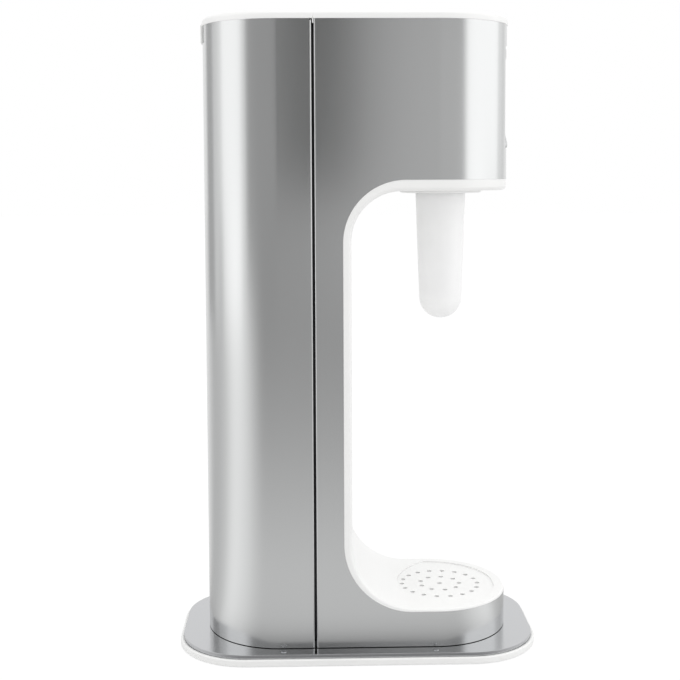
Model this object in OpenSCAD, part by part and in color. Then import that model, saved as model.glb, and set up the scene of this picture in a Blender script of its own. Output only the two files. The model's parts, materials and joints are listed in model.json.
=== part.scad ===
// Sparkling water maker for a kitchen counter, worked by gas from a screw-in cylinder.
// A steel-skinned column holds the cylinder, its head holds the valve and the front lever,
// and a white liner faces the bay where the bottle stands.
// Frame: +X towards the lever, +Z up, origin on the counter under the centre of the base.

/* [Body] */
// Width of the body
body_w = 107.4; // [100:0.1:120]
// Half width of the flat at the very front and the very rear
nose_flat = 2.2; // [0.5:0.1:6]
// Height of the steel skins
skin_h = 414.6; // [400:0.1:450]
// Thickness of the steel skins
skin_t = 1; // [0.6:0.1:1.4]
// Slit between the skins and the base plate
skin_slit = 0.6; // [0.4:0.1:1.5]
// Distance of the rear cover's seam in front of the cylinder
seam_ahead = 0.8; // [0:0.1:2]
// Width of the seam
seam_w = 1.3; // [0.8:0.1:2]
// Depth of the turned-in edges at the seam
edge_fold = 4; // [2:0.1:5]
// Corner radius at the top of the rear skin beside the seam
seam_corner_r = 2.5; // [1:0.1:4]
// Height of the white covers' edge above the skins
cover_t = 4.3; // [3:0.1:6]
// Half width of the finger tab at the rear
tab_half_w = 12; // [12:0.5:30]
// Projection of the finger tab
tab_out = 1.5; // [0.8:0.1:3]

/* [Base] */
// Margin of the base beside the body
base_side = 12.6; // [10:0.1:20]
// Margin of the base before and behind the body
base_end = 18.6; // [14:0.1:30]
// Corner radius of the base
base_r = 48; // [40:0.1:58]
// Height of the base moulding
base_h = 5.2; // [4.5:0.1:8]
// Height of the moulding above the counter
base_lift = 0.8; // [0.4:0.1:1.5]
// Width of the white rim round the plate
rim_w = 2; // [1.2:0.1:4]
// Thickness of the base plate
plate_t = 1.8; // [1.5:0.1:3]
// Rise of the plate above the rim
plate_rise = 1.4; // [0.6:0.1:1.4]
// Size of each of the two steps that round the plate's edge
plate_step = 0.5; // [0.2:0.1:0.6]
// Distance of a plate screw before and behind the middle
plate_screw_x = 50.5; // [40:0.5:60]
// Distance of a plate screw from the side of the body
plate_screw_out = 5.3; // [4:0.1:7]
// Diameter of a rubber foot
foot_d = 16; // [10:0.5:20]
// Depth of the foot's pocket in the moulding
foot_pocket = 1.2; // [0.8:0.1:2]

/* [Bottle bay] */
// Length of the column in front of the cylinder
column_front = 20; // [18:0.1:24]
// Distance from the column's steel edge to the nozzle's axis
nozzle_ahead = 69; // [68:0.1:80]
// Distance from the nozzle's axis to the front of the body
nozzle_from_front = 44.7; // [42:0.1:50]
// Height of the steel under the tray
foot_h = 23.5; // [21:0.1:30]
// Height of the steel head
head_h = 103.8; // [98:0.1:115]
// Radius of the steel cut at the tray
bay_floor_r = 46; // [30:0.5:50]
// Radius of the steel cut at the head
bay_roof_r = 41; // [30:0.5:50]
// How far the liner stands out of the column
proud_column = 5.5; // [4:0.1:8]
// How far the liner hangs below the head
proud_roof = 7.4; // [5:0.1:9]
// How far the liner stands above the foot
proud_floor = 1.7; // [1:0.1:2.5]
// Radius of the liner's face at the tray
liner_floor_r = 42.5; // [30:0.5:46]
// Radius of the liner's face at the head
liner_roof_r = 33; // [28:0.5:35]
// Wall of the liner
liner_t = 2.5; // [2:0.1:3]

/* [Drip tray] */
// Distance of the tray's edge from the outside of the body
tray_inset = 7; // [6:0.1:9]
// Depth of the grid's top below the liner
grid_sink = 1.8; // [1.2:0.1:2.4]
// Thickness of the grid
grid_t = 2; // [1.5:0.1:3]
// Radius of the arc at the rear of the grid
grid_rear_r = 60; // [55:0.5:80]
// Margin of the grid behind its outer ring of holes
grid_margin = 1.45; // [1:0.05:4]
// Diameter of a drain hole
drain_d = 3.5; // [2.5:0.1:5]
// Radius of the inner ring of drain holes
drain_ring_1 = 13.8; // [11:0.1:16]
// Radius of the outer ring of drain holes
drain_ring_2 = 26.8; // [22:0.1:30]
// Number of holes in the inner ring
drain_count_1 = 9; // [6:1:12]
// Number of holes in the outer ring
drain_count_2 = 18; // [12:1:24]
// Wall of the drip cup
cup_t = 1.5; // [1.2:0.1:2.5]

/* [Nozzle] */
// Bore of the bottle's neck socket
neck_bore = 28; // [26:0.1:30]
// Wall of the neck socket
socket_t = 1.5; // [1.2:0.1:2]
// Wall of the nozzle cap
cap_t = 1.6; // [1.2:0.1:2]
// How far each side of the cap draws in towards its round end
cap_taper = 2.7; // [1:0.1:4]
// Length of the cap below the liner
cap_l = 89; // [80:0.1:110]
// Gap between the cap and the bottle collar
cap_clear = 1.3; // [1:0.1:3]
// Wall of the collar's sleeve
sleeve_t = 4.3; // [2:0.1:5]
// Width of the collar's brim
collar_brim = 5; // [3:0.1:7]
// Height of the collar below the liner
collar_h = 1.9; // [1:0.1:4]
// Diameter of the carbonation tube
tube_d = 7; // [5:0.1:8]
// Bore of the carbonation tube
tube_bore = 3; // [2:0.1:3.5]

/* [Lever] */
// Width of the lever paddle
paddle_w = 38; // [30:0.5:42]
// Height of the lever paddle
paddle_h = 67.4; // [55:0.1:70]
// Distance from the top of the skins to the top of the paddle
paddle_drop = 15.4; // [14:0.1:20]
// Sink of the paddle's face below the skin
paddle_sink = 1; // [0.6:0.1:1.2]
// Thickness of the paddle
paddle_t = 2.5; // [2:0.1:3]
// Projection of the finger lip beyond the skin
lip_out = 1.3; // [0.8:0.1:3]
// Diameter of the lever and beam pins
pin_d = 4; // [3:0.1:5]
// Length of the lever's nose behind its pin
nose_l = 16; // [14:0.5:18]

/* [Gas cylinder] */
// Diameter of the gas cylinder
cylinder_d = 60; // [56:0.5:62]
// Free height under the cylinder, for unscrewing it
cylinder_room = 14.6; // [12:0.1:20]
// Distance from the rear of the body to the back of the cylinder
cylinder_from_rear = 13.7; // [12:0.1:16]
// Wall of the gas cylinder
cylinder_wall = 3; // [2:0.1:4]
// Diameter of the valve's thread
thread_d = 21.6; // [20:0.1:23]
// Length of the valve's thread
thread_l = 14.6; // [12:0.1:16]

/* [Hidden] */
$fn = 96;

// Clearances: round parts that turn or slide, parts that seat, and parts dropped in a pocket
run_gap = 0.05;
seat_gap = 0.3;
drop_gap = 0.3;
// Overrun of a cut past the face that it opens
cut = 1;

// Body: its length is the sum of what it holds
body_l = cylinder_from_rear + cylinder_d + column_front + nozzle_ahead + nozzle_from_front;
corner_r = body_w / 2 - nose_flat;
base_l = body_l + 2 * base_end;
base_w = body_w + 2 * base_side;

// Places along the length
rear_x = -body_l / 2;
front_x = body_l / 2;
cylinder_r = cylinder_d / 2;
cylinder_x = rear_x + cylinder_from_rear + cylinder_r;
seam_x = cylinder_x + cylinder_r + seam_ahead;
bay_x = cylinder_x + cylinder_r + column_front;
nozzle_x = front_x - nozzle_from_front;

// Levels
rim_z = base_lift + base_h;
plate_z = rim_z + plate_rise;
recess_z = plate_z - plate_t;
skin_z0 = plate_z + skin_slit;
skin_z1 = skin_z0 + skin_h;
bay_z0 = skin_z0 + foot_h;
bay_z1 = skin_z1 - head_h;
face_x = bay_x + proud_column;
face_z0 = bay_z0 + proud_floor;
face_z1 = bay_z1 - proud_roof;
cover_z1 = skin_z1 + cover_t;

// Nozzle: each round part takes its diameter from the one inside it
socket_d = neck_bore + 2 * socket_t;
cap_fit = 0.3;
cap_d = socket_d + 2 * (cap_fit + cap_t);
cap_end_d = cap_d - 2 * cap_taper;
collar_bore = cap_d + 2 * cap_clear;
collar_sleeve_d = collar_bore + 2 * sleeve_t;
collar_d = collar_sleeve_d + 2 * collar_brim;
// The liner's upper curve stays behind the collar
roof_r = min(liner_roof_r, nozzle_ahead - proud_column - collar_d / 2 - seat_gap);

// Chassis: walls, decks and the set-back of its outline
wall_t = 3;
liner_lap = 3;
fold_inset = skin_t + edge_fold;
chassis_inset = fold_inset + seat_gap;
deck_z1 = plate_z + wall_t;
head_deck_z0 = bay_z1 + liner_lap + seat_gap;
head_deck_z1 = head_deck_z0 + wall_t;
spine_gap = 6;
spine_x0 = cylinder_x + cylinder_r + spine_gap;
spine_x1 = spine_x0 + wall_t;
spine_inset = 8.7;
spine_half_w = body_w / 2 - spine_inset;
spine_drop = 18;
baffle_lap = 3.5;
spine_z1 = skin_z1 - spine_drop;
notch_half_w = 9;
boss_r = 5;
boss_h = 7;

// Lever: the paddle, its pin and the nose that presses the beam
paddle_z1 = skin_z1 - paddle_drop;
paddle_z0 = paddle_z1 - paddle_h;
pin_depth = 9.7;
pin_below_brow = 5.2;
lever_pin_x = front_x - pin_depth;
lever_pin_z = paddle_z1 - pin_below_brow;
nose_r = 2.3;
nose_rise = 0.3;
nose_x = lever_pin_x - nose_l;
nose_z = lever_pin_z + nose_rise;
hub_t = 3;
hub_d = pin_d + 2 * hub_t;

// Beam under the nose
beam_z1 = nose_z - nose_r - seat_gap;
beam_web = 1.5;
beam_h = 8;
beam_w = 14;
beam_end = 6;
beam_end_x = nose_x + beam_end;
beam_pin_z = beam_z1 - beam_h / 2;

// Valve block, from the plunger's head down to the cylinder's collar
plunger_head_t = 3;
plunger_head_d = 10;
plunger_d = 5.8;
plunger_tip_d = 2.8;
plunger_stand = 11.3;
plunger_z1 = beam_z1 - beam_web - seat_gap;
pocket_d = 11;
pocket_depth = 9;
guide_l = 12.1;
port_rise = 3;
seal_rise = 6;
seal_r = 0.9;
gas_port_d = 3;
chamber_d = 8;
gasket_t = 1.5;
block_z1 = plunger_z1 - plunger_stand;
pocket_z = block_z1 - pocket_depth;
socket_z1 = pocket_z - guide_l;
gas_port_z = socket_z1 + port_rise;
seal_z = gas_port_z + seal_rise;
cylinder_z1 = socket_z1 - gasket_t - 2 * run_gap;
collar_z1 = cylinder_z1 - thread_l;
block_z0 = collar_z1 + seat_gap;
block_wall = 5.9;
block_flange_w = 6;
block_flange_t = 4;
block_flange_rise = 7;
block_flat = 2;
block_d = thread_d + 2 * (seat_gap + block_wall);
block_flange_d = block_d + 2 * block_flange_w;
shelf_t = 4;
shelf_z1 = block_z0 + block_flange_rise;
shelf_margin = 4;
shelf_x0 = cylinder_x - cylinder_r - shelf_margin;
shelf_half_w = cylinder_r + shelf_margin;
beam_pin_x = cylinder_x - block_flange_d / 2 - boss_r;

// Cylinder: foot, shoulder and neck under the valve's collar
cylinder_z0 = deck_z1 + cylinder_room;
valve_brim = 4.2;
valve_collar_d = thread_d + 2 * valve_brim;
valve_collar_h = 4.2;
neck_d = 26;
neck_h = 12;
neck_flat = 4;
stem_d = 14;
cylinder_shoulder_r = cylinder_r - neck_flat;
cylinder_foot_r = 8;
shoulder_z = collar_z1 - valve_collar_h - neck_h;
valve_pin_d = 3;
valve_pin_l = 8;
valve_pin_travel = 1.5;
plug_d = 7;
plug_l = 4;

// Nozzle levels: the neck socket hangs from the head deck
socket_drop = 1.1;
socket_z0 = face_z1 + socket_drop;
cap_lap = 5;
cap_z0 = face_z1 - cap_l;
cap_z1 = face_z1 + cap_lap;
carbonator_wall = 6.5;
carbonator_flange_w = 4;
carbonator_h = 24;
carbonator_d = socket_d + 2 * carbonator_wall;
carbonator_flange_d = carbonator_d + 2 * carbonator_flange_w;
carbonator_z1 = head_deck_z1 + carbonator_h;
inlet_rise = 13;
inlet_z = head_deck_z1 + inlet_rise;
hose_d = 5;
hose_nut_d = 9;
hose_nut_l = 8;
tube_clear = 6;
tube_z0 = cap_z0 + tube_clear;
tube_tip_l = 8;
seal_t = 3;
seal_w = 4.4;

// Screws
screw_head_d = 5.5;
screw_head_h = 0.6;
screw_shank_d = 2.6;
base_head_d = 7;
base_head_h = 2;
base_shank_d = 3.6;

// Relief valve, beside the carbonator's axis
relief_back = 11;
relief_x = nozzle_x - relief_back;
relief_d = 12;
relief_h = 18;
relief_floor = 4;
relief_bore = 7.4;
relief_floor_z = carbonator_z1 + relief_floor;
relief_z1 = carbonator_z1 + relief_h;
poppet_t = 2.5;

// Rounded rectangle in plan, drawn in from the body's outline
module body_plan(inset) {
    plan(body_l - 2 * inset, body_w - 2 * inset, corner_r - inset);
}

// Rounded rectangle of length l, width w and corner radius r
module plan(l, w, r) {
    square([l - 2 * r, w], center = true);
    square([l, w - 2 * r], center = true);
    for (x = [-1, 1], y = [-1, 1])
        translate([x * (l / 2 - r), y * (w / 2 - r)]) circle(r);
}

// Upright wall that follows the body's outline between two insets
module body_wall(outer, inner, z0, z1) {
    translate([0, 0, z0]) linear_extrude(z1 - z0) difference() {
        body_plan(outer);
        body_plan(inner);
    }
}

// Solid block of the body's outline
module body_block(inset, z0, z1) {
    translate([0, 0, z0]) linear_extrude(z1 - z0) body_plan(inset);
}

// Box given by its lowest and highest corners
module box(a, b) {
    translate(a) cube(b - a);
}

// Everything in front of, or behind, an upright plane across the body
module front_of(x, z0, z1) {
    box([x, -body_w, z0], [body_l, body_w, z1]);
}
module behind(x, z0, z1) {
    box([-body_l, -body_w, z0], [x, body_w, z1]);
}

// Bay profile seen from the side: open to the front, with round corners at the column
module bay_profile(x0, z0, z1, r0, r1) {
    translate([x0, z0 + r0]) square([body_l, z1 - z0 - r0 - r1]);
    translate([x0 + r0, z0]) square([body_l, r0]);
    translate([x0 + r1, z1 - r1]) square([body_l, r1]);
    translate([x0 + r0, z0 + r0]) circle(r0);
    translate([x0 + r1, z1 - r1]) circle(r1);
}

// Bay profile pushed through the body's full width
module bay_cut(x0, z0, z1, r0, r1, half_w) {
    translate([0, half_w, 0]) rotate([90, 0, 0]) linear_extrude(2 * half_w)
        bay_profile(x0, z0, z1, r0, r1);
}

// Bay at the cut edge of the steel, grown into the walls by a lap
module steel_bay(lap, half_w) {
    bay_cut(bay_x - lap, bay_z0 - lap, bay_z1 + lap, bay_floor_r + lap, bay_roof_r + lap, half_w);
}

// Bay at the face of the liner, grown into the walls by a depth
module face_bay(depth, half_w) {
    bay_cut(face_x - depth, face_z0 - depth, face_z1 + depth,
        liner_floor_r + depth, roof_r + depth, half_w);
}

// Upright cylinder between two levels
module post(x, y, z0, z1, d) {
    translate([x, y, z0]) cylinder(d = d, h = z1 - z0);
}

// Upright tube between two levels
module pipe(x, y, z0, z1, d, bore) {
    difference() {
        post(x, y, z0, z1, d);
        post(x, y, z0 - cut, z1 + cut, bore);
    }
}

// Rod across the body, centred on the XZ plane
module cross_rod(x, z, half_w, d) {
    translate([x, half_w, z]) rotate([90, 0, 0]) cylinder(d = d, h = 2 * half_w);
}

// Tube along a list of points, with rings square to a fixed side direction
function unit(v) = v / norm(v);
function path_dir(p, i) = unit(p[min(i + 1, len(p) - 1)] - p[max(i - 1, 0)]);
function ring_points(p, i, r, sides, side) =
    let (d = path_dir(p, i), a = unit(cross(d, side)), b = cross(d, a))
    [for (k = [0:sides - 1]) p[i] + r * (cos(360 * k / sides) * a + sin(360 * k / sides) * b)];
module path_tube(p, r, sides, side) {
    n = len(p);
    last = (n - 1) * sides;
    points = [for (i = [0:n - 1]) each ring_points(p, i, r, sides, side)];
    walls = [for (i = [0:n - 2], k = [0:sides - 1])
        let (a = i * sides + k, b = i * sides + (k + 1) % sides)
        each [[a, b, b + sides], [a, b + sides, a + sides]]];
    first_end = [for (k = [1:sides - 2]) [0, k + 1, k]];
    last_end = [for (k = [1:sides - 2]) [last, last + k, last + k + 1]];
    polyhedron(points, concat(walls, first_end, last_end));
}

// Centre line of a coil spring about +Z, with steps_per_turn points in a turn
steps_per_turn = 8;
coil_sides = 6;
function coil_path(r, z0, z1, turns) =
    [for (i = [0:turns * steps_per_turn])
        let (q = i / (turns * steps_per_turn), a = 360 * turns * q)
        [r * cos(a), r * sin(a), z0 + (z1 - z0) * q]];
// Least gap between one turn of a coil and the next, from centre-line points
function coil_gap(p, wire) =
    min([for (i = [0:len(p) - 1 - steps_per_turn]) norm(p[i] - p[i + steps_per_turn])]) - wire;

// Base: a shallow white moulding with a recess for the plate and pockets for the feet
foot_from_end = 26;
foot_from_side = 19;
foot_x = base_l / 2 - foot_from_end;
foot_y = base_w / 2 - foot_from_side;
plate_screw_y = body_w / 2 + plate_screw_out;
base_screw_rear = 15;
base_screw_front = 27;
base_screw_y = cylinder_r + boss_r / 2;
base_screw_xs = [cylinder_x - base_screw_rear, spine_x0 - boss_r / 2, front_x - base_screw_front];
module at_feet() {
    for (x = [-foot_x, foot_x], y = [-foot_y, foot_y]) translate([x, y, 0]) children();
}
module at_plate_screws() {
    for (x = [-plate_screw_x, plate_screw_x], y = [-plate_screw_y, plate_screw_y])
        translate([x, y, 0]) children();
}
module at_base_screws() {
    for (x = base_screw_xs, y = [-base_screw_y, base_screw_y]) translate([x, y, 0]) children();
}
module base_moulding() {
    color("white") difference() {
        translate([0, 0, base_lift]) linear_extrude(base_h) plan(base_l, base_w, base_r);
        translate([0, 0, recess_z]) linear_extrude(base_h)
            plan(base_l - 2 * rim_w, base_w - 2 * rim_w, base_r - rim_w);
        at_feet() post(0, 0, 0, base_lift + foot_pocket, foot_d + 2 * drop_gap);
        at_plate_screws() post(0, 0, 0, rim_z, screw_shank_d + 2 * run_gap);
        at_base_screws() {
            post(0, 0, 0, rim_z, base_shank_d + 2 * drop_gap);
            post(0, 0, 0, base_lift + base_head_h + drop_gap, base_head_d + 2 * drop_gap);
        }
    }
}
module base_feet() {
    color("dimgray") at_feet() post(0, 0, 0, base_lift + foot_pocket, foot_d);
}

// Base plate: steel with a rounded edge, stepped here, that lies inside the white rim
plate_l = base_l - 2 * rim_w - 2 * drop_gap;
plate_w = base_w - 2 * rim_w - 2 * drop_gap;
plate_r = base_r - rim_w - drop_gap;
module base_plate() {
    color("silver") difference() {
        translate([0, 0, recess_z]) union() {
            linear_extrude(plate_t - 2 * plate_step) plan(plate_l, plate_w, plate_r);
            linear_extrude(plate_t - plate_step)
                plan(plate_l - 2 * plate_step, plate_w - 2 * plate_step, plate_r - plate_step);
            linear_extrude(plate_t)
                plan(plate_l - 4 * plate_step, plate_w - 4 * plate_step, plate_r - 2 * plate_step);
        }
        at_plate_screws() post(0, 0, 0, plate_z + cut, screw_shank_d + 2 * run_gap);
        at_base_screws() post(0, 0, 0, plate_z + cut, base_shank_d + 2 * drop_gap);
    }
}
module plate_screws() {
    color("gray") at_plate_screws() {
        post(0, 0, plate_z, plate_z + screw_head_h, screw_head_d);
        post(0, 0, base_lift + plate_step, plate_z + screw_head_h / 2, screw_shank_d);
    }
}
module base_screws() {
    color("gray") at_base_screws() {
        post(0, 0, base_lift + drop_gap, base_lift + base_head_h, base_head_d);
        post(0, 0, base_lift + base_head_h / 2, deck_z1 + boss_h / 2, base_shank_d);
    }
}

// Chassis: bottom deck, spine behind the liner with baffles that darken the seam, shelf for the
// valve block and head deck
module chassis() {
    ear_y = beam_w / 2 + seat_gap + wall_t / 2;
    color("gainsboro") difference() {
        union() {
            body_block(chassis_inset, plate_z, deck_z1);
            at_base_screws() post(0, 0, plate_z, deck_z1 + boss_h, 2 * boss_r);
            box([spine_x0, -spine_half_w, plate_z], [spine_x1, spine_half_w, spine_z1]);
            for (y = [-spine_half_w, spine_half_w - wall_t])
                box([seam_x - baffle_lap, y, plate_z], [spine_x1, y + wall_t, skin_z1 - seat_gap]);
            for (y = [-cylinder_r, cylinder_r])
                box([spine_x0, y - wall_t / 2, face_z0 + liner_floor_r],
                    [face_x - liner_t - seat_gap, y + wall_t / 2, bay_z1 - bay_roof_r]);
            intersection() {
                body_block(chassis_inset, head_deck_z0, head_deck_z1);
                front_of(spine_x0, head_deck_z0, head_deck_z1);
            }
            intersection() {
                box([shelf_x0, -shelf_half_w, shelf_z1 - shelf_t], [spine_x1, shelf_half_w, shelf_z1]);
                body_block(chassis_inset, 0, skin_z1);
            }
            for (y = [-shelf_half_w, shelf_half_w - wall_t])
                box([cylinder_x, y, shelf_z1 - shelf_t - 2 * wall_t], [spine_x1, y + wall_t, shelf_z1]);
            for (y = [-ear_y, ear_y])
                box([beam_pin_x - boss_r, y - wall_t / 2, shelf_z1 - shelf_t],
                    [beam_pin_x + boss_r, y + wall_t / 2, beam_pin_z + boss_r]);
        }
        box([spine_x0 - cut, -notch_half_w, gas_port_z - hose_nut_d],
            [spine_x1 + cut, notch_half_w, skin_z1]);
        post(cylinder_x, 0, shelf_z1 - shelf_t - cut, shelf_z1 + cut, block_d + 2 * seat_gap);
        post(nozzle_x, 0, head_deck_z0 - cut, head_deck_z1 + cut, socket_d + 2 * seat_gap);
        at_base_screws() post(0, 0, 0, deck_z1 + boss_h - cut, base_shank_d + 2 * run_gap);
        at_block_screws() post(0, 0, shelf_z1 - shelf_t - cut, shelf_z1 + cut, screw_shank_d + 2 * run_gap);
        cross_rod(beam_pin_x, beam_pin_z, ear_y + wall_t, pin_d + 2 * run_gap);
    }
}

// Steel skins: one folded sheet round the front, one round the rear
window_gap = 0.4;
window_top = 2;
module skin(x0, x1, fold_x0, fold_x1) {
    intersection() {
        body_wall(0, skin_t, skin_z0, skin_z1);
        box([x0, -body_w, skin_z0], [x1, body_w, skin_z1]);
    }
    intersection() {
        body_wall(0, fold_inset, skin_z0, skin_z1);
        box([fold_x0, -body_w, skin_z0], [fold_x1, body_w, skin_z1]);
    }
}
module front_skin() {
    edge_x = seam_x + seam_w / 2;
    color("silver") difference() {
        skin(edge_x, body_l, edge_x, edge_x + skin_t);
        steel_bay(0, body_w);
        box([nozzle_x, -paddle_w / 2 - window_gap, paddle_z0 - window_gap],
            [body_l, paddle_w / 2 + window_gap, paddle_z1 + window_top]);
    }
}
module rear_skin() {
    edge_x = seam_x - seam_w / 2;
    color("silver") difference() {
        skin(-body_l, edge_x, edge_x - skin_t, edge_x);
        translate([edge_x - seam_corner_r, body_w, skin_z1 - seam_corner_r]) rotate([90, 0, 0])
            linear_extrude(2 * body_w) difference() {
                square(seam_corner_r + cut);
                circle(seam_corner_r);
            }
    }
}

// Liner: white moulding that faces the head, the column and the tray
flush_inset = 0.15;
lap_inset = skin_t + drop_gap;
module inner_liner() {
    color("white") difference() {
        union() {
            intersection() {
                difference() {
                    steel_bay(-flush_inset, body_w);
                    face_bay(0, body_w);
                }
                body_block(flush_inset, 0, skin_z1);
            }
            intersection() {
                difference() {
                    steel_bay(liner_lap, body_w);
                    face_bay(0, body_w);
                }
                body_block(lap_inset, 0, skin_z1);
            }
        }
        intersection() {
            difference() {
                steel_bay(liner_lap + cut, body_w);
                face_bay(liner_t, body_w);
            }
            body_block(lap_inset + liner_t, 0, skin_z1);
        }
        post(nozzle_x, 0, face_z1 - cut, bay_z1 + liner_lap + cut, collar_sleeve_d + 2 * drop_gap);
        translate([0, 0, skin_z0]) linear_extrude(face_z0 - skin_z0 + liner_floor_r / 4)
            tray_plan(tray_inset);
    }
}

// Outline of the drip tray: the body's outline drawn in, closed at the rear by an arc
tray_rear = drain_ring_2 + drain_d / 2 + grid_margin;
module tray_plan(inset) {
    intersection() {
        body_plan(inset);
        translate([nozzle_x + grid_rear_r - tray_rear, 0]) circle(grid_rear_r + tray_inset - inset);
    }
}
grid_z1 = face_z0 - grid_sink;
grid_z0 = grid_z1 - grid_t;
cup_z0 = deck_z1 + boss_h + seat_gap;
cup_inset = tray_inset + 2 * drop_gap;
module drain_holes(count, ring_r) {
    for (i = [0:count - 1]) translate([nozzle_x, 0, 0]) rotate(360 * i / count)
        post(ring_r, 0, grid_z0 - cut, grid_z1 + cut, drain_d);
}
module drip_grid() {
    color("white") difference() {
        translate([0, 0, grid_z0]) linear_extrude(grid_t) tray_plan(tray_inset + drop_gap);
        drain_holes(1, 0);
        drain_holes(drain_count_1, drain_ring_1);
        drain_holes(drain_count_2, drain_ring_2);
    }
}
module drip_cup() {
    color("whitesmoke") difference() {
        translate([0, 0, cup_z0]) linear_extrude(grid_z0 - cup_z0) tray_plan(cup_inset);
        translate([0, 0, cup_z0 + cup_t]) linear_extrude(grid_z0) tray_plan(cup_inset + cup_t);
    }
}

// White covers: a cap on the head, and the rear cover with its own part of the top
cover_lip = 0.5;
cover_edge = 0.7;
cover_split = 0.4;
skirt_t = 2;
skirt_h = 9.6;
module cover_plate() {
    body_block(-cover_lip, skin_z1, cover_z1 - cover_edge);
    body_block(0, skin_z1, cover_z1);
}
module top_cover() {
    color("white") {
        intersection() {
            cover_plate();
            front_of(seam_x + cover_split / 2, 0, cover_z1);
        }
        intersection() {
            body_wall(lap_inset, lap_inset + skirt_t, skin_z1 - skirt_h, skin_z1 + cover_edge);
            front_of(seam_x + edge_fold, 0, cover_z1);
        }
    }
}
tab_h = 11.4;
module rear_cover() {
    color("white") {
        intersection() {
            cover_plate();
            behind(seam_x - cover_split / 2, 0, cover_z1);
        }
        intersection() {
            body_wall(lap_inset, lap_inset + skirt_t, skin_z0 + seat_gap, skin_z1 + cover_edge);
            behind(seam_x - seam_w / 2 - skin_t - drop_gap, 0, cover_z1);
        }
        intersection() {
            body_wall(-tab_out, -flush_inset, skin_z1 - tab_h, cover_z1 - cover_edge);
            box([-body_l, -tab_half_w, 0], [cylinder_x, tab_half_w, cover_z1]);
        }
    }
}

// Bottle collar: a ring under the head with a sleeve that reaches the head deck
module bottle_collar() {
    color("white") difference() {
        union() {
            post(nozzle_x, 0, face_z1 - collar_h, face_z1, collar_d);
            post(nozzle_x, 0, face_z1 - collar_h, head_deck_z0, collar_sleeve_d);
        }
        post(nozzle_x, 0, face_z1 - collar_h - cut, head_deck_z0 + cut, collar_bore);
    }
}

// Carbonator head: stands on the deck, with the socket for the bottle's neck below
module carbonator_head() {
    color("dimgray") difference() {
        union() {
            post(nozzle_x, 0, socket_z0, head_deck_z1 + wall_t, socket_d);
            post(nozzle_x, 0, head_deck_z1, head_deck_z1 + wall_t, carbonator_flange_d);
            post(nozzle_x, 0, head_deck_z1, carbonator_z1, carbonator_d);
        }
        post(nozzle_x, 0, socket_z0 - cut, head_deck_z1, neck_bore);
        post(nozzle_x, 0, socket_z0, carbonator_z1 - wall_t, tube_d + 2 * run_gap);
        translate([nozzle_x - carbonator_d / 2 - cut, 0, inlet_z]) rotate([0, 90, 0])
            cylinder(d = gas_port_d, h = carbonator_d / 2);
        post(relief_x, 0, inlet_z, carbonator_z1 + cut, gas_port_d);
    }
}
module bottle_seal() {
    color("black") pipe(nozzle_x, 0, head_deck_z1 - seal_t, head_deck_z1, neck_bore - 2 * run_gap,
        neck_bore - 2 * seal_w);
}
module carbonation_tube() {
    color("ivory") difference() {
        translate([nozzle_x, 0, 0]) rotate_extrude() {
            translate([tube_bore / 2, tube_z0 + tube_tip_l])
                square([(tube_d - tube_bore) / 2, carbonator_z1 - wall_t - tube_z0 - tube_tip_l]);
            polygon([[tube_bore / 4, tube_z0], [tube_d / 4, tube_z0], [tube_d / 2, tube_z0 + tube_tip_l],
                [tube_bore / 2, tube_z0 + tube_tip_l]]);
        }
        translate([nozzle_x - tube_d, 0, inlet_z]) rotate([0, 90, 0])
            cylinder(d = tube_bore / 2, h = tube_d);
    }
}

// Nozzle cap: translucent cover with a round end, pushed onto the neck socket
module cap_shape(depth) {
    end_r = cap_end_d / 2 - depth;
    end_z = cap_z0 + cap_end_d / 2;
    intersection() {
        translate([0, end_z]) circle(end_r);
        translate([0, end_z - cap_end_d]) square(cap_end_d);
    }
    polygon([[0, end_z], [end_r, end_z], [cap_d / 2 - depth, cap_z1], [0, cap_z1]]);
}
module nozzle_cap() {
    color([0.9, 0.92, 0.92, 0.6]) translate([nozzle_x, 0, 0]) rotate_extrude() difference() {
        cap_shape(0);
        cap_shape(cap_t);
    }
}

// Safety relief valve on the carbonator head
relief_spring_r = 2.6;
relief_spring_wire = 0.7;
relief_spring_turns = 5;
relief_spring_path = coil_path(relief_spring_r,
    relief_floor_z + poppet_t + relief_spring_wire / 2 + run_gap,
    relief_z1 - relief_spring_wire / 2 - run_gap, relief_spring_turns);
echo(least_gap_relief_spring = coil_gap(relief_spring_path, relief_spring_wire));
module relief_valve_body() {
    color("goldenrod") difference() {
        post(relief_x, 0, carbonator_z1, relief_z1, relief_d);
        post(relief_x, 0, relief_floor_z, relief_z1 + cut, relief_bore);
        post(relief_x, 0, carbonator_z1 - cut, relief_floor_z + cut, gas_port_d);
    }
}
module relief_poppet() {
    color("firebrick") post(relief_x, 0, relief_floor_z + run_gap, relief_floor_z + poppet_t,
        relief_bore - 4 * run_gap);
}
module relief_spring() {
    color("silver") translate([relief_x, 0, 0])
        path_tube(relief_spring_path, relief_spring_wire / 2, coil_sides, [0, 0, 1]);
}
module relief_cap() {
    color("goldenrod") difference() {
        translate([relief_x, 0, relief_z1]) cylinder(d = relief_d, h = wall_t, $fn = 6);
        post(relief_x, 0, relief_z1 - cut, relief_z1 + wall_t + cut, gas_port_d);
    }
}

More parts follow.
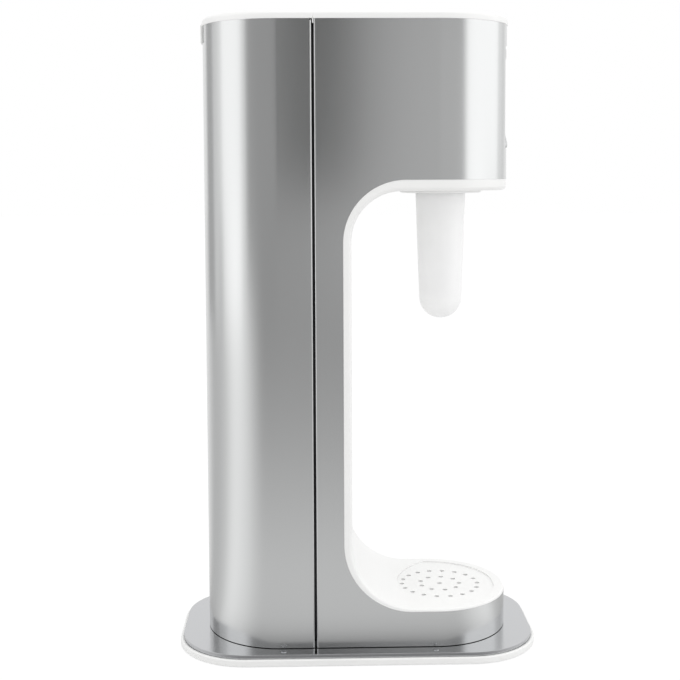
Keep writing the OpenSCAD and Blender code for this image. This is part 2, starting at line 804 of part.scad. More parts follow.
// Gas hose from the valve block down to the carbonator head, with a nut at each end
hose_x0 = cylinder_x + block_d / 2 + hose_nut_l;
hose_x1 = nozzle_x - carbonator_d / 2 - hose_nut_l;
hose_straight = 6;
hose_rings = 24;
hose_sides = 10;
function smooth(q) = q * q * (3 - 2 * q);
hose_path = concat([[hose_x0 + run_gap, 0, gas_port_z]],
    [for (i = [0:hose_rings]) let (q = i / hose_rings)
        [hose_x0 + hose_straight + (hose_x1 - hose_x0 - 2 * hose_straight) * q, 0,
        gas_port_z + (inlet_z - gas_port_z) * smooth(q)]],
    [[hose_x1 - run_gap, 0, inlet_z]]);
module gas_hose() {
    color("ivory") path_tube(hose_path, hose_d / 2, hose_sides, [0, 1, 0]);
}
module hose_nuts() {
    color("goldenrod") {
        translate([hose_x0 - hose_nut_l, 0, gas_port_z]) rotate([0, 90, 0])
            cylinder(d = hose_nut_d, h = hose_nut_l, $fn = 6);
        translate([hose_x1, 0, inlet_z]) rotate([0, 90, 0])
            cylinder(d = hose_nut_d, h = hose_nut_l, $fn = 6);
    }
}

// Valve block: takes the cylinder's thread from below and the plunger from above
module at_block_screws() {
    for (a = [45:90:315]) translate([cylinder_x, 0, 0]) rotate(a)
        translate([(block_d + block_flange_d) / 4, 0, 0]) children();
}
module valve_block() {
    flat_y = block_d / 2 - block_flat;
    color("slategray") difference() {
        union() {
            post(cylinder_x, 0, block_z0, block_z1, block_d);
            post(cylinder_x, 0, shelf_z1, shelf_z1 + block_flange_t, block_flange_d);
        }
        post(cylinder_x, 0, block_z0 - cut, socket_z1, thread_d + 2 * seat_gap);
        post(cylinder_x, 0, socket_z1 - cut, gas_port_z + gas_port_d / 2, chamber_d);
        post(cylinder_x, 0, socket_z1, block_z1, plunger_d + 2 * run_gap);
        post(cylinder_x, 0, pocket_z, block_z1 + cut, pocket_d);
        translate([cylinder_x, 0, gas_port_z]) rotate([0, 90, 0]) cylinder(d = gas_port_d, h = block_d);
        pipe(cylinder_x, 0, seal_z - seal_r - run_gap, seal_z + seal_r + run_gap,
            plunger_d + 4 * (seal_r + run_gap), plunger_d);
        at_block_screws() post(0, 0, shelf_z1 - cut, shelf_z1 + block_flange_t + cut,
            screw_shank_d + 2 * run_gap);
        for (y = [flat_y, -flat_y - block_d])
            box([cylinder_x - block_d, y, shelf_z1 + 2 * block_flange_t],
                [cylinder_x + block_d, y + block_d, block_z1 + cut]);
    }
}
module block_screws() {
    color("silver") at_block_screws() {
        post(0, 0, shelf_z1 + block_flange_t, shelf_z1 + block_flange_t + screw_shank_d, screw_head_d);
        post(0, 0, shelf_z1 - shelf_t, shelf_z1 + block_flange_t + screw_head_h, screw_shank_d);
    }
}
module valve_gasket() {
    color("black") pipe(cylinder_x, 0, cylinder_z1 + run_gap, socket_z1 - run_gap, thread_d, chamber_d);
}

// Plunger: pushes the cylinder's valve pin when the beam comes down on its head
plunger_spring_r = 4.2;
plunger_spring_wire = 1;
plunger_spring_turns = 6;
plunger_spring_path = coil_path(plunger_spring_r, pocket_z + plunger_spring_wire / 2 + run_gap,
    plunger_z1 - plunger_head_t - plunger_spring_wire / 2 - run_gap, plunger_spring_turns);
echo(least_gap_plunger_spring = coil_gap(plunger_spring_path, plunger_spring_wire));
module plunger() {
    color("silver") {
        post(cylinder_x, 0, gas_port_z, plunger_z1 - plunger_head_t / 2, plunger_d);
        post(cylinder_x, 0, cylinder_z1 + seat_gap, gas_port_z + gas_port_d, plunger_tip_d);
        post(cylinder_x, 0, plunger_z1 - plunger_head_t, plunger_z1, plunger_head_d);
    }
}
module plunger_seal() {
    color("black") translate([cylinder_x, 0, seal_z]) rotate_extrude()
        translate([plunger_d / 2 + run_gap + seal_r, 0]) circle(seal_r);
}
module plunger_spring() {
    color("silver") translate([cylinder_x, 0, 0])
        path_tube(plunger_spring_path, plunger_spring_wire / 2, coil_sides, [0, 0, 1]);
}

// Beam: pressed steel channel, hinged behind the valve block and pushed down at its front
module actuator_beam() {
    x0 = beam_pin_x - boss_r;
    color("lightsteelblue") difference() {
        box([x0, -beam_w / 2, beam_z1 - beam_h], [beam_end_x, beam_w / 2, beam_z1]);
        box([x0 - cut, -beam_w / 2 + beam_web, beam_z1 - beam_h - cut],
            [beam_end_x + cut, beam_w / 2 - beam_web, beam_z1 - beam_web]);
        cross_rod(beam_pin_x, beam_pin_z, beam_w, pin_d + 2 * run_gap);
    }
}
module beam_pin() {
    color("gray") cross_rod(beam_pin_x, beam_pin_z, beam_w / 2 + seat_gap + wall_t + run_gap, pin_d);
}

// Lever paddle: curved plate in the head's front with a brow above and a finger lip below
lip_h = 10;
lip_steps = 4;
brow_h = 7;
brow_out = 0.7;
module paddle_face(outer, z0, z1) {
    intersection() {
        body_wall(outer, paddle_sink + paddle_t, z0, z1);
        box([nozzle_x, -paddle_w / 2, 0], [body_l, paddle_w / 2, skin_z1]);
    }
}
module lever_paddle() {
    color("silver") {
        paddle_face(paddle_sink, paddle_z0, paddle_z1);
        paddle_face(paddle_sink - brow_out, paddle_z1 - brow_h, paddle_z1);
        for (i = [1:lip_steps])
            paddle_face(paddle_sink - (lip_out + paddle_sink) * (1 - pow(1 - i / lip_steps, 2)),
                paddle_z0, paddle_z0 + lip_h * (lip_steps + 1 - i) / lip_steps);
    }
}

// Lever arm: the hub on the pin, two ribs that carry the paddle, and the nose
rib_t = 2;
rib_inset = 2;
rib_end = 3;
hub_half_w = paddle_w / 2 - rib_inset;
module lever_arm() {
    color("dimgray") difference() {
        union() {
            intersection() {
                union() {
                    cross_rod(lever_pin_x, lever_pin_z, hub_half_w, hub_d);
                    for (y = [-hub_half_w, hub_half_w - rib_t])
                        box([lever_pin_x - hub_d / 2, y, paddle_z0 + paddle_h / 2],
                            [front_x, y + rib_t, paddle_z1 - rib_end]);
                }
                body_block(paddle_sink + paddle_t + seat_gap, 0, skin_z1);
            }
            box([nose_x, -beam_w / 4, nose_z - nose_r], [lever_pin_x, beam_w / 4, nose_z + nose_r]);
            cross_rod(nose_x, nose_z, beam_w / 4, 2 * nose_r);
        }
        cross_rod(lever_pin_x, lever_pin_z, body_w, pin_d + 2 * run_gap);
    }
}

// Bracket that carries the lever's pin, standing on the head deck
ear_gap = 4.6;
ear_t = 2;
ear_back = 8;
ear_front = 4;
bracket_lap = 2;
ear_y = paddle_w / 2 + ear_gap;
ear_x0 = lever_pin_x - ear_back;
ear_x1 = lever_pin_x + ear_front;
module lever_bracket() {
    color("lightgray") difference() {
        intersection() {
            union() {
                box([nozzle_x + carbonator_flange_d / 2 - bracket_lap, -ear_y - ear_t, head_deck_z1],
                    [ear_x1, ear_y + ear_t, head_deck_z1 + ear_t]);
                for (y = [-ear_y - ear_t, ear_y])
                    box([ear_x0, y, head_deck_z1], [ear_x1, y + ear_t, lever_pin_z + hub_d / 2]);
            }
            body_block(lap_inset, head_deck_z1, skin_z1);
        }
        post(nozzle_x, 0, 0, skin_z1, carbonator_flange_d + 2 * seat_gap);
        cross_rod(lever_pin_x, lever_pin_z, body_w, pin_d + 2 * run_gap);
    }
}
module lever_pin() {
    color("gray") cross_rod(lever_pin_x, lever_pin_z, ear_y + ear_t + run_gap, pin_d);
}

// Return spring of the lever: a torsion coil on the pin, between the paddle's edge and the ear
lever_spring_r = 3.4;
lever_spring_wire = 1;
lever_spring_turns = 2;
lever_spring_l = ear_gap - 2 * seat_gap - lever_spring_wire;
lever_spring_path = coil_path(lever_spring_r, 0, lever_spring_l, lever_spring_turns);
echo(least_gap_lever_spring = coil_gap(lever_spring_path, lever_spring_wire));
module lever_spring() {
    color("silver") translate([lever_pin_x, paddle_w / 2 + seat_gap + lever_spring_wire / 2, lever_pin_z])
        rotate([-90, 0, 0]) path_tube(lever_spring_path, lever_spring_wire / 2, coil_sides, [0, 0, 1]);
}

// Gas cylinder with its screw-in valve, pin and burst plug
module bottle_outline(depth) {
    r = cylinder_r - depth;
    foot_r = cylinder_foot_r - depth;
    top_r = cylinder_shoulder_r - depth;
    z0 = cylinder_z0 + depth;
    z1 = shoulder_z - depth;
    translate([0, z0]) square([r - foot_r, foot_r]);
    translate([0, z0 + foot_r]) square([r, z1 - z0 - foot_r - top_r]);
    translate([0, z1 - top_r]) square([r - top_r, top_r]);
    intersection() {
        union() {
            translate([r - foot_r, z0 + foot_r]) circle(foot_r);
            translate([r - top_r, z1 - top_r]) circle(top_r);
        }
        square([r, z1]);
    }
}
module gas_cylinder() {
    color("lightgray") translate([cylinder_x, 0, 0]) rotate_extrude() difference() {
        union() {
            bottle_outline(0);
            translate([0, shoulder_z - cylinder_wall]) square([neck_d / 2, neck_h + cylinder_wall]);
        }
        bottle_outline(cylinder_wall);
        translate([0, shoulder_z - 2 * cylinder_wall])
            square([stem_d / 2 + run_gap, neck_h + 3 * cylinder_wall]);
    }
}
module cylinder_valve() {
    color("goldenrod") difference() {
        union() {
            translate([cylinder_x, 0, collar_z1 - valve_collar_h])
                cylinder(d = valve_collar_d, h = valve_collar_h, $fn = 6);
            post(cylinder_x, 0, collar_z1 - valve_collar_h / 2, cylinder_z1, thread_d);
            post(cylinder_x, 0, shoulder_z, collar_z1 - valve_collar_h / 2, stem_d);
        }
        post(cylinder_x, 0, cylinder_z1 - valve_pin_l - valve_pin_travel, cylinder_z1 + cut,
            valve_pin_d + 2 * run_gap);
    }
}
module cylinder_valve_pin() {
    color("silver") post(cylinder_x, 0, cylinder_z1 - valve_pin_l, cylinder_z1, valve_pin_d);
}
module burst_plug() {
    z = shoulder_z + neck_h / 2;
    color("silver") difference() {
        translate([cylinder_x + neck_d / 2 - cut, 0, z]) rotate([0, 90, 0])
            cylinder(d = plug_d, h = plug_l + cut, $fn = 6);
        post(cylinder_x, 0, z - plug_d, z + plug_d, neck_d + 2 * run_gap);
    }
}

// Cradle: a clip on the spine that steadies the cylinder
cradle_up = 65;
cradle_h = 16;
cradle_t = 3.2;
module cylinder_cradle() {
    r = cylinder_r + 2 * seat_gap;
    z0 = cylinder_z0 + cradle_up;
    z1 = z0 + cradle_h;
    color("gainsboro") difference() {
        union() {
            post(cylinder_x, 0, z0, z1, 2 * (r + cradle_t));
            box([cylinder_x, -cylinder_r / 2, z0], [spine_x0, cylinder_r / 2, z1]);
        }
        post(cylinder_x, 0, z0 - cut, z1 + cut, 2 * r);
        behind(cylinder_x, z0 - cut, z1 + cut);
        front_of(spine_x0, z0 - cut, z1 + cut);
    }
}

base_moulding();
base_plate();
plate_screws();
base_feet();
base_screws();
chassis();
front_skin();
inner_liner();
top_cover();
rear_cover();
rear_skin();
drip_cup();
drip_grid();
bottle_collar();
carbonator_head();
bottle_seal();
carbonation_tube();
nozzle_cap();
relief_valve_body();
relief_poppet();
relief_spring();
relief_cap();
gas_hose();
hose_nuts();
valve_block();
valve_gasket();
block_screws();
plunger();
plunger_seal();
plunger_spring();
actuator_beam();
beam_pin();
lever_paddle();
lever_arm();
lever_pin();
lever_bracket();
lever_spring();
gas_cylinder();
cylinder_valve();
cylinder_valve_pin();
burst_plug();
cylinder_cradle();
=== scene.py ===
import json
import math

import bmesh
import bpy
from mathutils import Matrix, Vector


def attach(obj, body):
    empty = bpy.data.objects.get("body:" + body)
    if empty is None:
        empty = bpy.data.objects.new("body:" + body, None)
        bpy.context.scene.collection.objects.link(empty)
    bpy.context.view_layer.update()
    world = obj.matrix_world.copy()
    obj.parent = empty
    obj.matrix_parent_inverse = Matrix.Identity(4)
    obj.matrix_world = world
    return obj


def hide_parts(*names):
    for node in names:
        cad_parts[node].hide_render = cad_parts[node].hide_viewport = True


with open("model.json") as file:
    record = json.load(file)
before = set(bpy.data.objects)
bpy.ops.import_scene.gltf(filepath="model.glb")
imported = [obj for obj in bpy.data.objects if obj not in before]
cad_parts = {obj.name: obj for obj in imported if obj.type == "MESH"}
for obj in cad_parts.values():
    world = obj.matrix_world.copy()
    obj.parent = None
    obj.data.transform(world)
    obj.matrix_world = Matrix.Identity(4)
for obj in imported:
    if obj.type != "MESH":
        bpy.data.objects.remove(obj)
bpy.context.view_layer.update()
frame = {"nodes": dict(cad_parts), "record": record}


# Camera: it stands where the photograph's did, which was fitted to the machine's outlines.
# A long lens a little above the middle of the machine looks slightly down at its side.
MM = 0.001
YAW = 0.0254
PITCH = 0.07696
ROLL = 0.004226
EYE_MM = Vector((-32.12, -841.35, 324.94))
camera = bpy.data.cameras.new("camera")
camera.lens = 64.32
camera.sensor_width = 36
camera.shift_y = -0.1114
level = Vector((math.cos(YAW), -math.sin(YAW), 0))
ahead = Vector((math.cos(PITCH) * math.sin(YAW), math.cos(PITCH) * math.cos(YAW), -math.sin(PITCH)))
upright = level.cross(ahead)
across = level * math.cos(ROLL) - upright * math.sin(ROLL)
above = level * math.sin(ROLL) + upright * math.cos(ROLL)
camera_object = bpy.data.objects.new("camera", camera)
bpy.context.collection.objects.link(camera_object)
camera_object.matrix_world = (
    Matrix.Translation(EYE_MM * MM) @ Matrix((across, above, -ahead)).transposed().to_4x4()
)
bpy.context.scene.camera = camera_object
bpy.context.scene.view_settings.view_transform = "Standard"


# World and floor: a plain white studio. Camera, glossy and transmission rays see it white, and diffuse rays
# get an even soft light, at which a colour renders as it is written. The camera sees the machine's shadow on
# the paper floor, and the steel mirrors a painted floor instead: painted shade close to the base and painted
# light beside it.
def linear(text):
    """Turns an sRGB hex colour into a linear RGBA tuple."""
    parts = [int(text[i:i + 2], 16) / 255 for i in (0, 2, 4)]
    return tuple(p / 12.92 if p <= 0.04045 else ((p + 0.055) / 1.055) ** 2.4 for p in parts) + (1.0,)


def add(tree, kind, values=None, links=None):
    """Adds a node, sets its properties and inputs from values, and links its inputs from sockets."""
    node = tree.nodes.new(kind)
    for key, value in (values or {}).items():
        if isinstance(key, str) and hasattr(node, key):
            setattr(node, key, value)
        else:
            node.inputs[key].default_value = value
    for key, socket in (links or {}).items():
        tree.links.new(socket, node.inputs[key])
    return node


def seen_rays(tree):
    """A socket that is 1 for camera, glossy and transmission rays and 0 for the others."""
    path = add(tree, "ShaderNodeLightPath")
    camera_or_glossy = add(tree, "ShaderNodeMath", {"operation": "MAXIMUM"},
                           {0: path.outputs["Is Camera Ray"], 1: path.outputs["Is Glossy Ray"]})
    seen = add(tree, "ShaderNodeMath", {"operation": "MAXIMUM"},
               {0: camera_or_glossy.outputs[0], 1: path.outputs["Is Transmission Ray"]})
    return seen.outputs[0]


WHITE = "FFFFFF"
FILL_LEVEL = 0.93
world = bpy.data.worlds.new("white studio")
world.use_nodes = True
world.node_tree.nodes.clear()
fill = add(world.node_tree, "ShaderNodeBackground", {"Color": linear(WHITE), "Strength": FILL_LEVEL})
background = add(world.node_tree, "ShaderNodeBackground", {"Color": linear(WHITE), "Strength": 1.0})
sky = add(world.node_tree, "ShaderNodeMixShader", None,
          {0: seen_rays(world.node_tree), 1: fill.outputs[0], 2: background.outputs[0]})
add(world.node_tree, "ShaderNodeOutputWorld", None, {"Surface": sky.outputs[0]})
bpy.context.scene.world = world

FLOOR_HALF = 8.0
FLOOR_COLOUR = "E4E4E4"
# For the camera the paper glows in part, so that its white still takes the machine's shadow.
FLOOR_GLOW = 0.78
FLOOR_LIGHT = 1.1
# The floor's brightness in the steel is painted: painted shade close to the base and far before the machine,
# and painted light beside it. The first two lists give it by metres from the line between the body's round
# ends, the last one by degrees of bearing from straight before it.
CORNER_MIDDLE = 0.0522
BESIDE_FROM = math.radians(22)
BESIDE_TO = math.radians(59)
BEFORE_STOPS = [(0.066, 0.20), (0.080, 0.31), (0.092, 0.50), (0.105, 0.63), (0.130, 0.73), (0.230, 0.76),
                (0.400, 0.68), (0.730, 0.53), (1.310, 0.42), (2.100, 0.36)]
CLOSE_STOPS = [(0.066, 0.50), (0.080, 0.74), (0.092, 0.85), (0.105, 0.91), (0.130, 0.96), (0.200, 1.00)]
ROUND_STOPS = [(0, 1.00), (55, 1.05), (66, 1.13), (74, 1.11), (81, 1.00), (88, 0.84), (96, 0.75),
               (106, 0.67), (122, 0.64), (134, 0.80), (150, 0.95), (180, 1.00)]


def by_stops(tree, measure, stops):
    """A brightness that follows a measured value through (value, brightness) stops."""
    low, high = stops[0][0], stops[-1][0]
    share = add(tree, "ShaderNodeMapRange", {"From Min": low, "From Max": high}, {"Value": measure})
    ramp = add(tree, "ShaderNodeValToRGB", None, {0: share.outputs[0]})
    marks = ramp.color_ramp.elements
    marks[0].color = (stops[0][1],) * 3 + (1,)
    marks[1].color = (stops[-1][1],) * 3 + (1,)
    for value, bright in stops[1:-1]:
        marks.new((value - low) / (high - low)).color = (bright,) * 3 + (1,)
    return ramp.outputs[0]


def painted_floor_light_and_shade(tree):
    """The floor's painted light and shade as the steel mirrors it: painted shade close to the base, before
    the machine and behind its corners, and painted light brightest beside it, by distance and bearing from
    the body's round ends."""
    place = add(tree, "ShaderNodeTexCoord")
    parts = add(tree, "ShaderNodeSeparateXYZ", None, {0: place.outputs["Object"]})
    aside = add(tree, "ShaderNodeMath", {"operation": "ABSOLUTE"}, {0: parts.outputs[0]})
    beyond = add(tree, "ShaderNodeMath", {"operation": "SUBTRACT", 1: CORNER_MIDDLE}, {0: aside.outputs[0]})
    reach = add(tree, "ShaderNodeMath", {"operation": "MAXIMUM", 1: 0.0}, {0: beyond.outputs[0]})
    front = add(tree, "ShaderNodeMath", {"operation": "MULTIPLY", 1: -1.0}, {0: parts.outputs[1]})
    flat = add(tree, "ShaderNodeCombineXYZ", None, {0: reach.outputs[0], 1: front.outputs[0]})
    away = add(tree, "ShaderNodeVectorMath", {"operation": "LENGTH"}, {0: flat.outputs[0]}).outputs["Value"]
    turn = add(tree, "ShaderNodeMath", {"operation": "ARCTAN2"}, {0: reach.outputs[0], 1: front.outputs[0]})
    beside = add(tree, "ShaderNodeMapRange",
                 {"interpolation_type": "SMOOTHSTEP", "From Min": BESIDE_FROM, "From Max": BESIDE_TO},
                 {"Value": turn.outputs[0]})
    round_stops = [(math.radians(degrees), bright) for degrees, bright in ROUND_STOPS]
    side = add(tree, "ShaderNodeMath", {"operation": "MULTIPLY"},
               {0: by_stops(tree, away, CLOSE_STOPS), 1: by_stops(tree, turn.outputs[0], round_stops)})
    before = by_stops(tree, away, BEFORE_STOPS)
    more = add(tree, "ShaderNodeMath", {"operation": "SUBTRACT"}, {0: side.outputs[0], 1: before})
    level = add(tree, "ShaderNodeMath", {"operation": "MULTIPLY_ADD"},
                {0: beside.outputs[0], 1: more.outputs[0], 2: before})
    return level.outputs[0]


def stage_plane(name, half_x, half_y, place, turn, material):
    """A flat card or floor that isn't part of the object: scaled, turned and placed in its mesh."""
    bm = bmesh.new()
    bmesh.ops.create_grid(bm, x_segments=1, y_segments=1, size=1)
    bmesh.ops.scale(bm, vec=(half_x, half_y, 1), verts=bm.verts)
    bmesh.ops.transform(bm, matrix=Matrix.Translation(place) @ turn, verts=bm.verts)
    mesh = bpy.data.meshes.new(name)
    bm.to_mesh(mesh)
    bm.free()
    mesh.materials.append(material)
    plane = bpy.data.objects.new(name, mesh)
    bpy.context.collection.objects.link(plane)
    return plane


def new_material(name):
    """An empty node material and its tree."""
    material = bpy.data.materials.new(name)
    material.use_nodes = True
    material.node_tree.nodes.clear()
    return material, material.node_tree


paper, tree = new_material("matt_studio_paper")
matt = add(tree, "ShaderNodeBsdfDiffuse", {"Color": linear(FLOOR_COLOUR)})
path = add(tree, "ShaderNodeLightPath")
# Glossy rays see a painted floor, with painted shade close to the base and painted light beside it; the
# camera sees the paper evenly white with its real shadow.
painted_floor_level = painted_floor_light_and_shade(tree)
excess = add(tree, "ShaderNodeMath", {"operation": "SUBTRACT", 0: FLOOR_LIGHT}, {1: painted_floor_level})
strength = add(tree, "ShaderNodeMath", {"operation": "MULTIPLY_ADD"},
               {0: path.outputs["Is Camera Ray"], 1: excess.outputs[0], 2: painted_floor_level})
glow = add(tree, "ShaderNodeEmission", {"Color": linear(WHITE)}, {"Strength": strength.outputs[0]})
share = add(tree, "ShaderNodeMath", {"operation": "MULTIPLY_ADD", 1: FLOOR_GLOW - 1},
            {0: path.outputs["Is Camera Ray"], 2: seen_rays(tree)})
mixed = add(tree, "ShaderNodeMixShader", None,
            {0: share.outputs[0], 1: matt.outputs[0], 2: glow.outputs[0]})
add(tree, "ShaderNodeOutputMaterial", None, {"Surface": mixed.outputs[0]})
stage_plane("floor", FLOOR_HALF, FLOOR_HALF, Vector((0, 0, 0)), Matrix.Identity(4), paper)


# Lamps and cards: a tall soft box on either side of the machine and one above it. Only its gloss
# sees the upright cards: grey ones before it, a dark one at the camera, and pale and grey ones
# behind its corners. They give the steel its dark middle and the bright bands at its ends.
def soft_box(name, place, size_x, size_y, level):
    """A rectangular lamp of an even radiance that looks at the middle of the machine."""
    lamp = bpy.data.lights.new(name, "AREA")
    lamp.shape = "RECTANGLE"
    lamp.size = size_x
    lamp.size_y = size_y
    lamp.energy = level * math.pi * size_x * size_y
    box = bpy.data.objects.new(name, lamp)
    box.matrix_world = (
        Matrix.Translation(place) @ (AIM - place).to_track_quat("-Z", "Y").to_matrix().to_4x4()
    )
    box.visible_camera = False
    bpy.context.collection.objects.link(box)


AIM = Vector((0, 0, 0.22))
soft_box("soft_box_right", place=Vector((1.67, -0.30, 0.60)), size_x=2.27, size_y=1.80, level=0.44)
soft_box("soft_box_left", place=Vector((-1.648, -0.419, 0.60)), size_x=1.12, size_y=1.80, level=0.37)
soft_box("soft_box_top", place=Vector((0.10, -0.35, 2.10)), size_x=1.60, size_y=1.40, level=0.80)


def gloss_card(name, level, half_x, half_z, place, turn=0):
    """An upright card that only glossy rays see, with its own brightness, turned about Z."""
    material, tree = new_material(name + "_cloth")
    lit = add(tree, "ShaderNodeEmission", {"Color": linear(WHITE), "Strength": level})
    add(tree, "ShaderNodeOutputMaterial", None, {"Surface": lit.outputs[0]})
    stand = Matrix.Rotation(math.radians(turn), 4, "Z") @ Matrix.Rotation(math.pi / 2, 4, "X")
    card = stage_plane(name, half_x, half_z, place, stand, material)
    card.visible_camera = False
    card.visible_diffuse = False
    card.visible_transmission = False
    card.visible_shadow = False


gloss_card("grey_card_front_left", level=0.42, half_x=1.33, half_z=1.50,
           place=Vector((-1.27, -2.20, 1.50)))
gloss_card("grey_card_front_right", level=0.62, half_x=1.27, half_z=0.45,
           place=Vector((1.33, -2.20, 0.45)))
gloss_card("grey_card_front_high", level=0.36, half_x=1.27, half_z=1.05,
           place=Vector((1.33, -2.20, 1.95)))
gloss_card("dark_card_camera", level=0.0, half_x=0.046, half_z=0.35,
           place=Vector((-0.018, -0.87, 0.65)))
gloss_card("pale_card_left", level=0.85, half_x=0.20, half_z=1.50,
           place=Vector((-1.867, 0.625, 1.50)), turn=71)
gloss_card("grey_card_left", level=0.50, half_x=0.373, half_z=1.50,
           place=Vector((-1.585, 1.155, 1.50)), turn=53)
gloss_card("pale_card_right", level=0.85, half_x=0.207, half_z=1.50,
           place=Vector((1.47, 1.37, 1.50)), turn=-46)


# Front skin: one sheet of stainless steel bent round the front, with the bay cut out of it.
# Its rear edges are folded inwards at the seam, and a window in its front takes the lever.
# The brushed finish gives soft upright gradients. Its grain is 0.1 mm wide, drawn at 0.7 mm.
# The limits of the grain's noise, how many broad patches cover a metre and their share in it, how
# much of its spread the colour takes, and the depth of the bumps at full strength.
GRAIN_RANGE = {"From Min": 0.3, "From Max": 1.05}
PATCHES_PER_M = 9.0
PATCH_SHARE = 0.35
TONE_SHARE = 0.7
BUMP_MM = 0.02


def brushed_metal(name, colour, roughness, grain_mm, spread, relief):
    """A metal with a fine grain that varies its colour, roughness and height a little."""
    material, tree = new_material(name)
    place = add(tree, "ShaderNodeTexCoord")
    scale = tuple(1 / (MM * g) for g in grain_mm)
    stretched = add(tree, "ShaderNodeMapping", {"Scale": scale}, {"Vector": place.outputs["Object"]})
    grain = add(tree, "ShaderNodeTexNoise", {"Scale": 1.0, "Detail": 3.0, "Roughness": 0.6},
                {"Vector": stretched.outputs[0]})
    broad = add(tree, "ShaderNodeTexNoise", {"Scale": PATCHES_PER_M, "Detail": 2.0},
                {"Vector": place.outputs["Object"]})
    both = add(tree, "ShaderNodeMath", {"operation": "MULTIPLY_ADD", 1: PATCH_SHARE},
               {0: broad.outputs[0], 2: grain.outputs[0]})
    rough = add(tree, "ShaderNodeMapRange",
                {**GRAIN_RANGE, "To Min": roughness - spread, "To Max": roughness + spread},
                {"Value": both.outputs[0]})
    tone = add(tree, "ShaderNodeMapRange",
               {**GRAIN_RANGE, "To Min": 1.0 - TONE_SHARE * spread, "To Max": 1.0},
               {"Value": both.outputs[0]})
    tint = add(tree, "ShaderNodeVectorMath", {"operation": "SCALE", 0: linear(colour)[:3]},
               {"Scale": tone.outputs[0]})
    height = add(tree, "ShaderNodeBump", {"Strength": relief, "Distance": BUMP_MM * MM},
                 {"Height": grain.outputs[0]})
    surface = add(tree, "ShaderNodeBsdfPrincipled", {"Metallic": 1.0},
                  {"Base Color": tint.outputs[0], "Roughness": rough.outputs[0],
                   "Normal": height.outputs[0]})
    add(tree, "ShaderNodeOutputMaterial", None, {"Surface": surface.outputs[0]})
    return material


steel_skin = brushed_metal("brushed_stainless_steel", "D3D4D4", roughness=0.21,
                           grain_mm=(0.7, 0.7, 60), spread=0.012, relief=0.02)

BODY_L = 207.4
BODY_W = 107.4
CORNER_R = 51.5
REAR_X = -BODY_L / 2
FRONT_X = BODY_L / 2
SKIN_Z0 = 8.0
SKIN_Z1 = 422.35
BAY_X = -10.0
BAY_Z0 = 31.5
BAY_Z1 = 318.8
BAY_FLOOR_R = 46.0
BAY_ROOF_R = 41.0
SKIN_T = 1.0
BEND_R = 1.25
FOLD_DEPTH = 5.0
SEAM_FRONT = -28.55
SEAM_REAR = -29.85
WINDOW_HALF = 19.4
WINDOW_Z = (339.4, 409.2)
ROUND_STEPS = 48
LEAST_STEPS = 4
STEPS_PER_MM = 0.7
FOLD_STEPS = 6
NEAR_MM = 0.02
CUT_MM = 0.001
LEVEL_PART = 0.01
CREASE_DEG = 32


def near(a, b):
    """True where two lengths in millimetres agree to a few hundredths."""
    return abs(a - b) < NEAR_MM


def verts_in(geom):
    """The vertices among what an operator returns."""
    return [g for g in geom if isinstance(g, bmesh.types.BMVert)]


def edges_in(geom):
    """The edges among what an operator returns."""
    return [g for g in geom if isinstance(g, bmesh.types.BMEdge)]


def round_off(bm, geom, radius, steps, affect="EDGES"):
    """Rounds edges of a solid, or corners of a flat outline where affect is VERTICES."""
    bmesh.ops.bevel(bm, geom=geom, offset=radius, segments=steps, profile=0.5,
                    affect=affect, clamp_overlap=False, material=-1)


def rounded_outline(bm, corners, y):
    """A flat face in the upright plane at y from (x, z, radius) corners, whose corners are rounded."""
    dots = [bm.verts.new((x, y, z)) for x, z, _ in corners]
    bm.faces.new(dots)
    for dot, (_, _, radius) in zip(dots, corners):
        if radius:
            round_off(bm, [dot], radius, max(LEAST_STEPS, round(radius * STEPS_PER_MM)), "VERTICES")
    return bm.faces[:]


def upright_prism(corners, half_w, round_x, round_r):
    """A closed prism across the machine from its side outline, with the upright edges at round_x
    bevelled to the plan's corner radius."""
    bm = bmesh.new()
    faces = rounded_outline(bm, corners, -half_w)
    moved = bmesh.ops.extrude_face_region(bm, geom=faces)["geom"]
    bmesh.ops.translate(bm, vec=(0, 2 * half_w, 0), verts=verts_in(moved))
    upright = [e for e in bm.edges if all(near(v.co.x, round_x) for v in e.verts)
               and near(e.verts[0].co.y, e.verts[1].co.y)]
    round_off(bm, upright, round_r, ROUND_STEPS)
    bmesh.ops.recalc_face_normals(bm, faces=bm.faces)
    return bm


def skin_sheet(corners, round_x, seam_x):
    """The wrapped sheet without thickness: the prism's sides and its round end, with the edges
    at the seam bent inwards in steps."""
    inward = 1 if round_x > seam_x else -1
    bend_x = seam_x + inward * BEND_R
    corners = [(bend_x if near(x, seam_x) else x, z, r) for x, z, r in corners]
    bm = upright_prism(corners, BODY_W / 2, round_x, CORNER_R)
    spare = [f for f in bm.faces if abs(f.normal.z) > LEVEL_PART
             or (abs(f.normal.y) < LEVEL_PART and not near(f.calc_center_median().x, round_x))]
    bmesh.ops.delete(bm, geom=spare, context="FACES")
    turns = [math.pi / 2 * k / FOLD_STEPS for k in range(FOLD_STEPS + 1)]
    path = [(math.sin(turn), 1 - math.cos(turn)) for turn in turns]
    steps = [((b[0] - a[0]) * BEND_R, (b[1] - a[1]) * BEND_R) for a, b in zip(path, path[1:])]
    for side in (-1, 1):
        edges = [e for e in bm.edges if all(near(v.co.x, bend_x) for v in e.verts)
                 and e.verts[0].co.y * side > 0]
        for dx, dy in steps + [(0, FOLD_DEPTH - BEND_R)]:
            edges = edges_in(bmesh.ops.extrude_edge_only(bm, edges=edges)["geom"])
            dots = list({v for e in edges for v in e.verts})
            bmesh.ops.translate(bm, vec=(-inward * dx, -side * dy, 0), verts=dots)
    bmesh.ops.recalc_face_normals(bm, faces=bm.faces)
    widest = max(bm.faces, key=lambda f: f.calc_area())
    if widest.normal.y * widest.calc_center_median().y < 0:
        bmesh.ops.reverse_faces(bm, faces=bm.faces)
    return bm


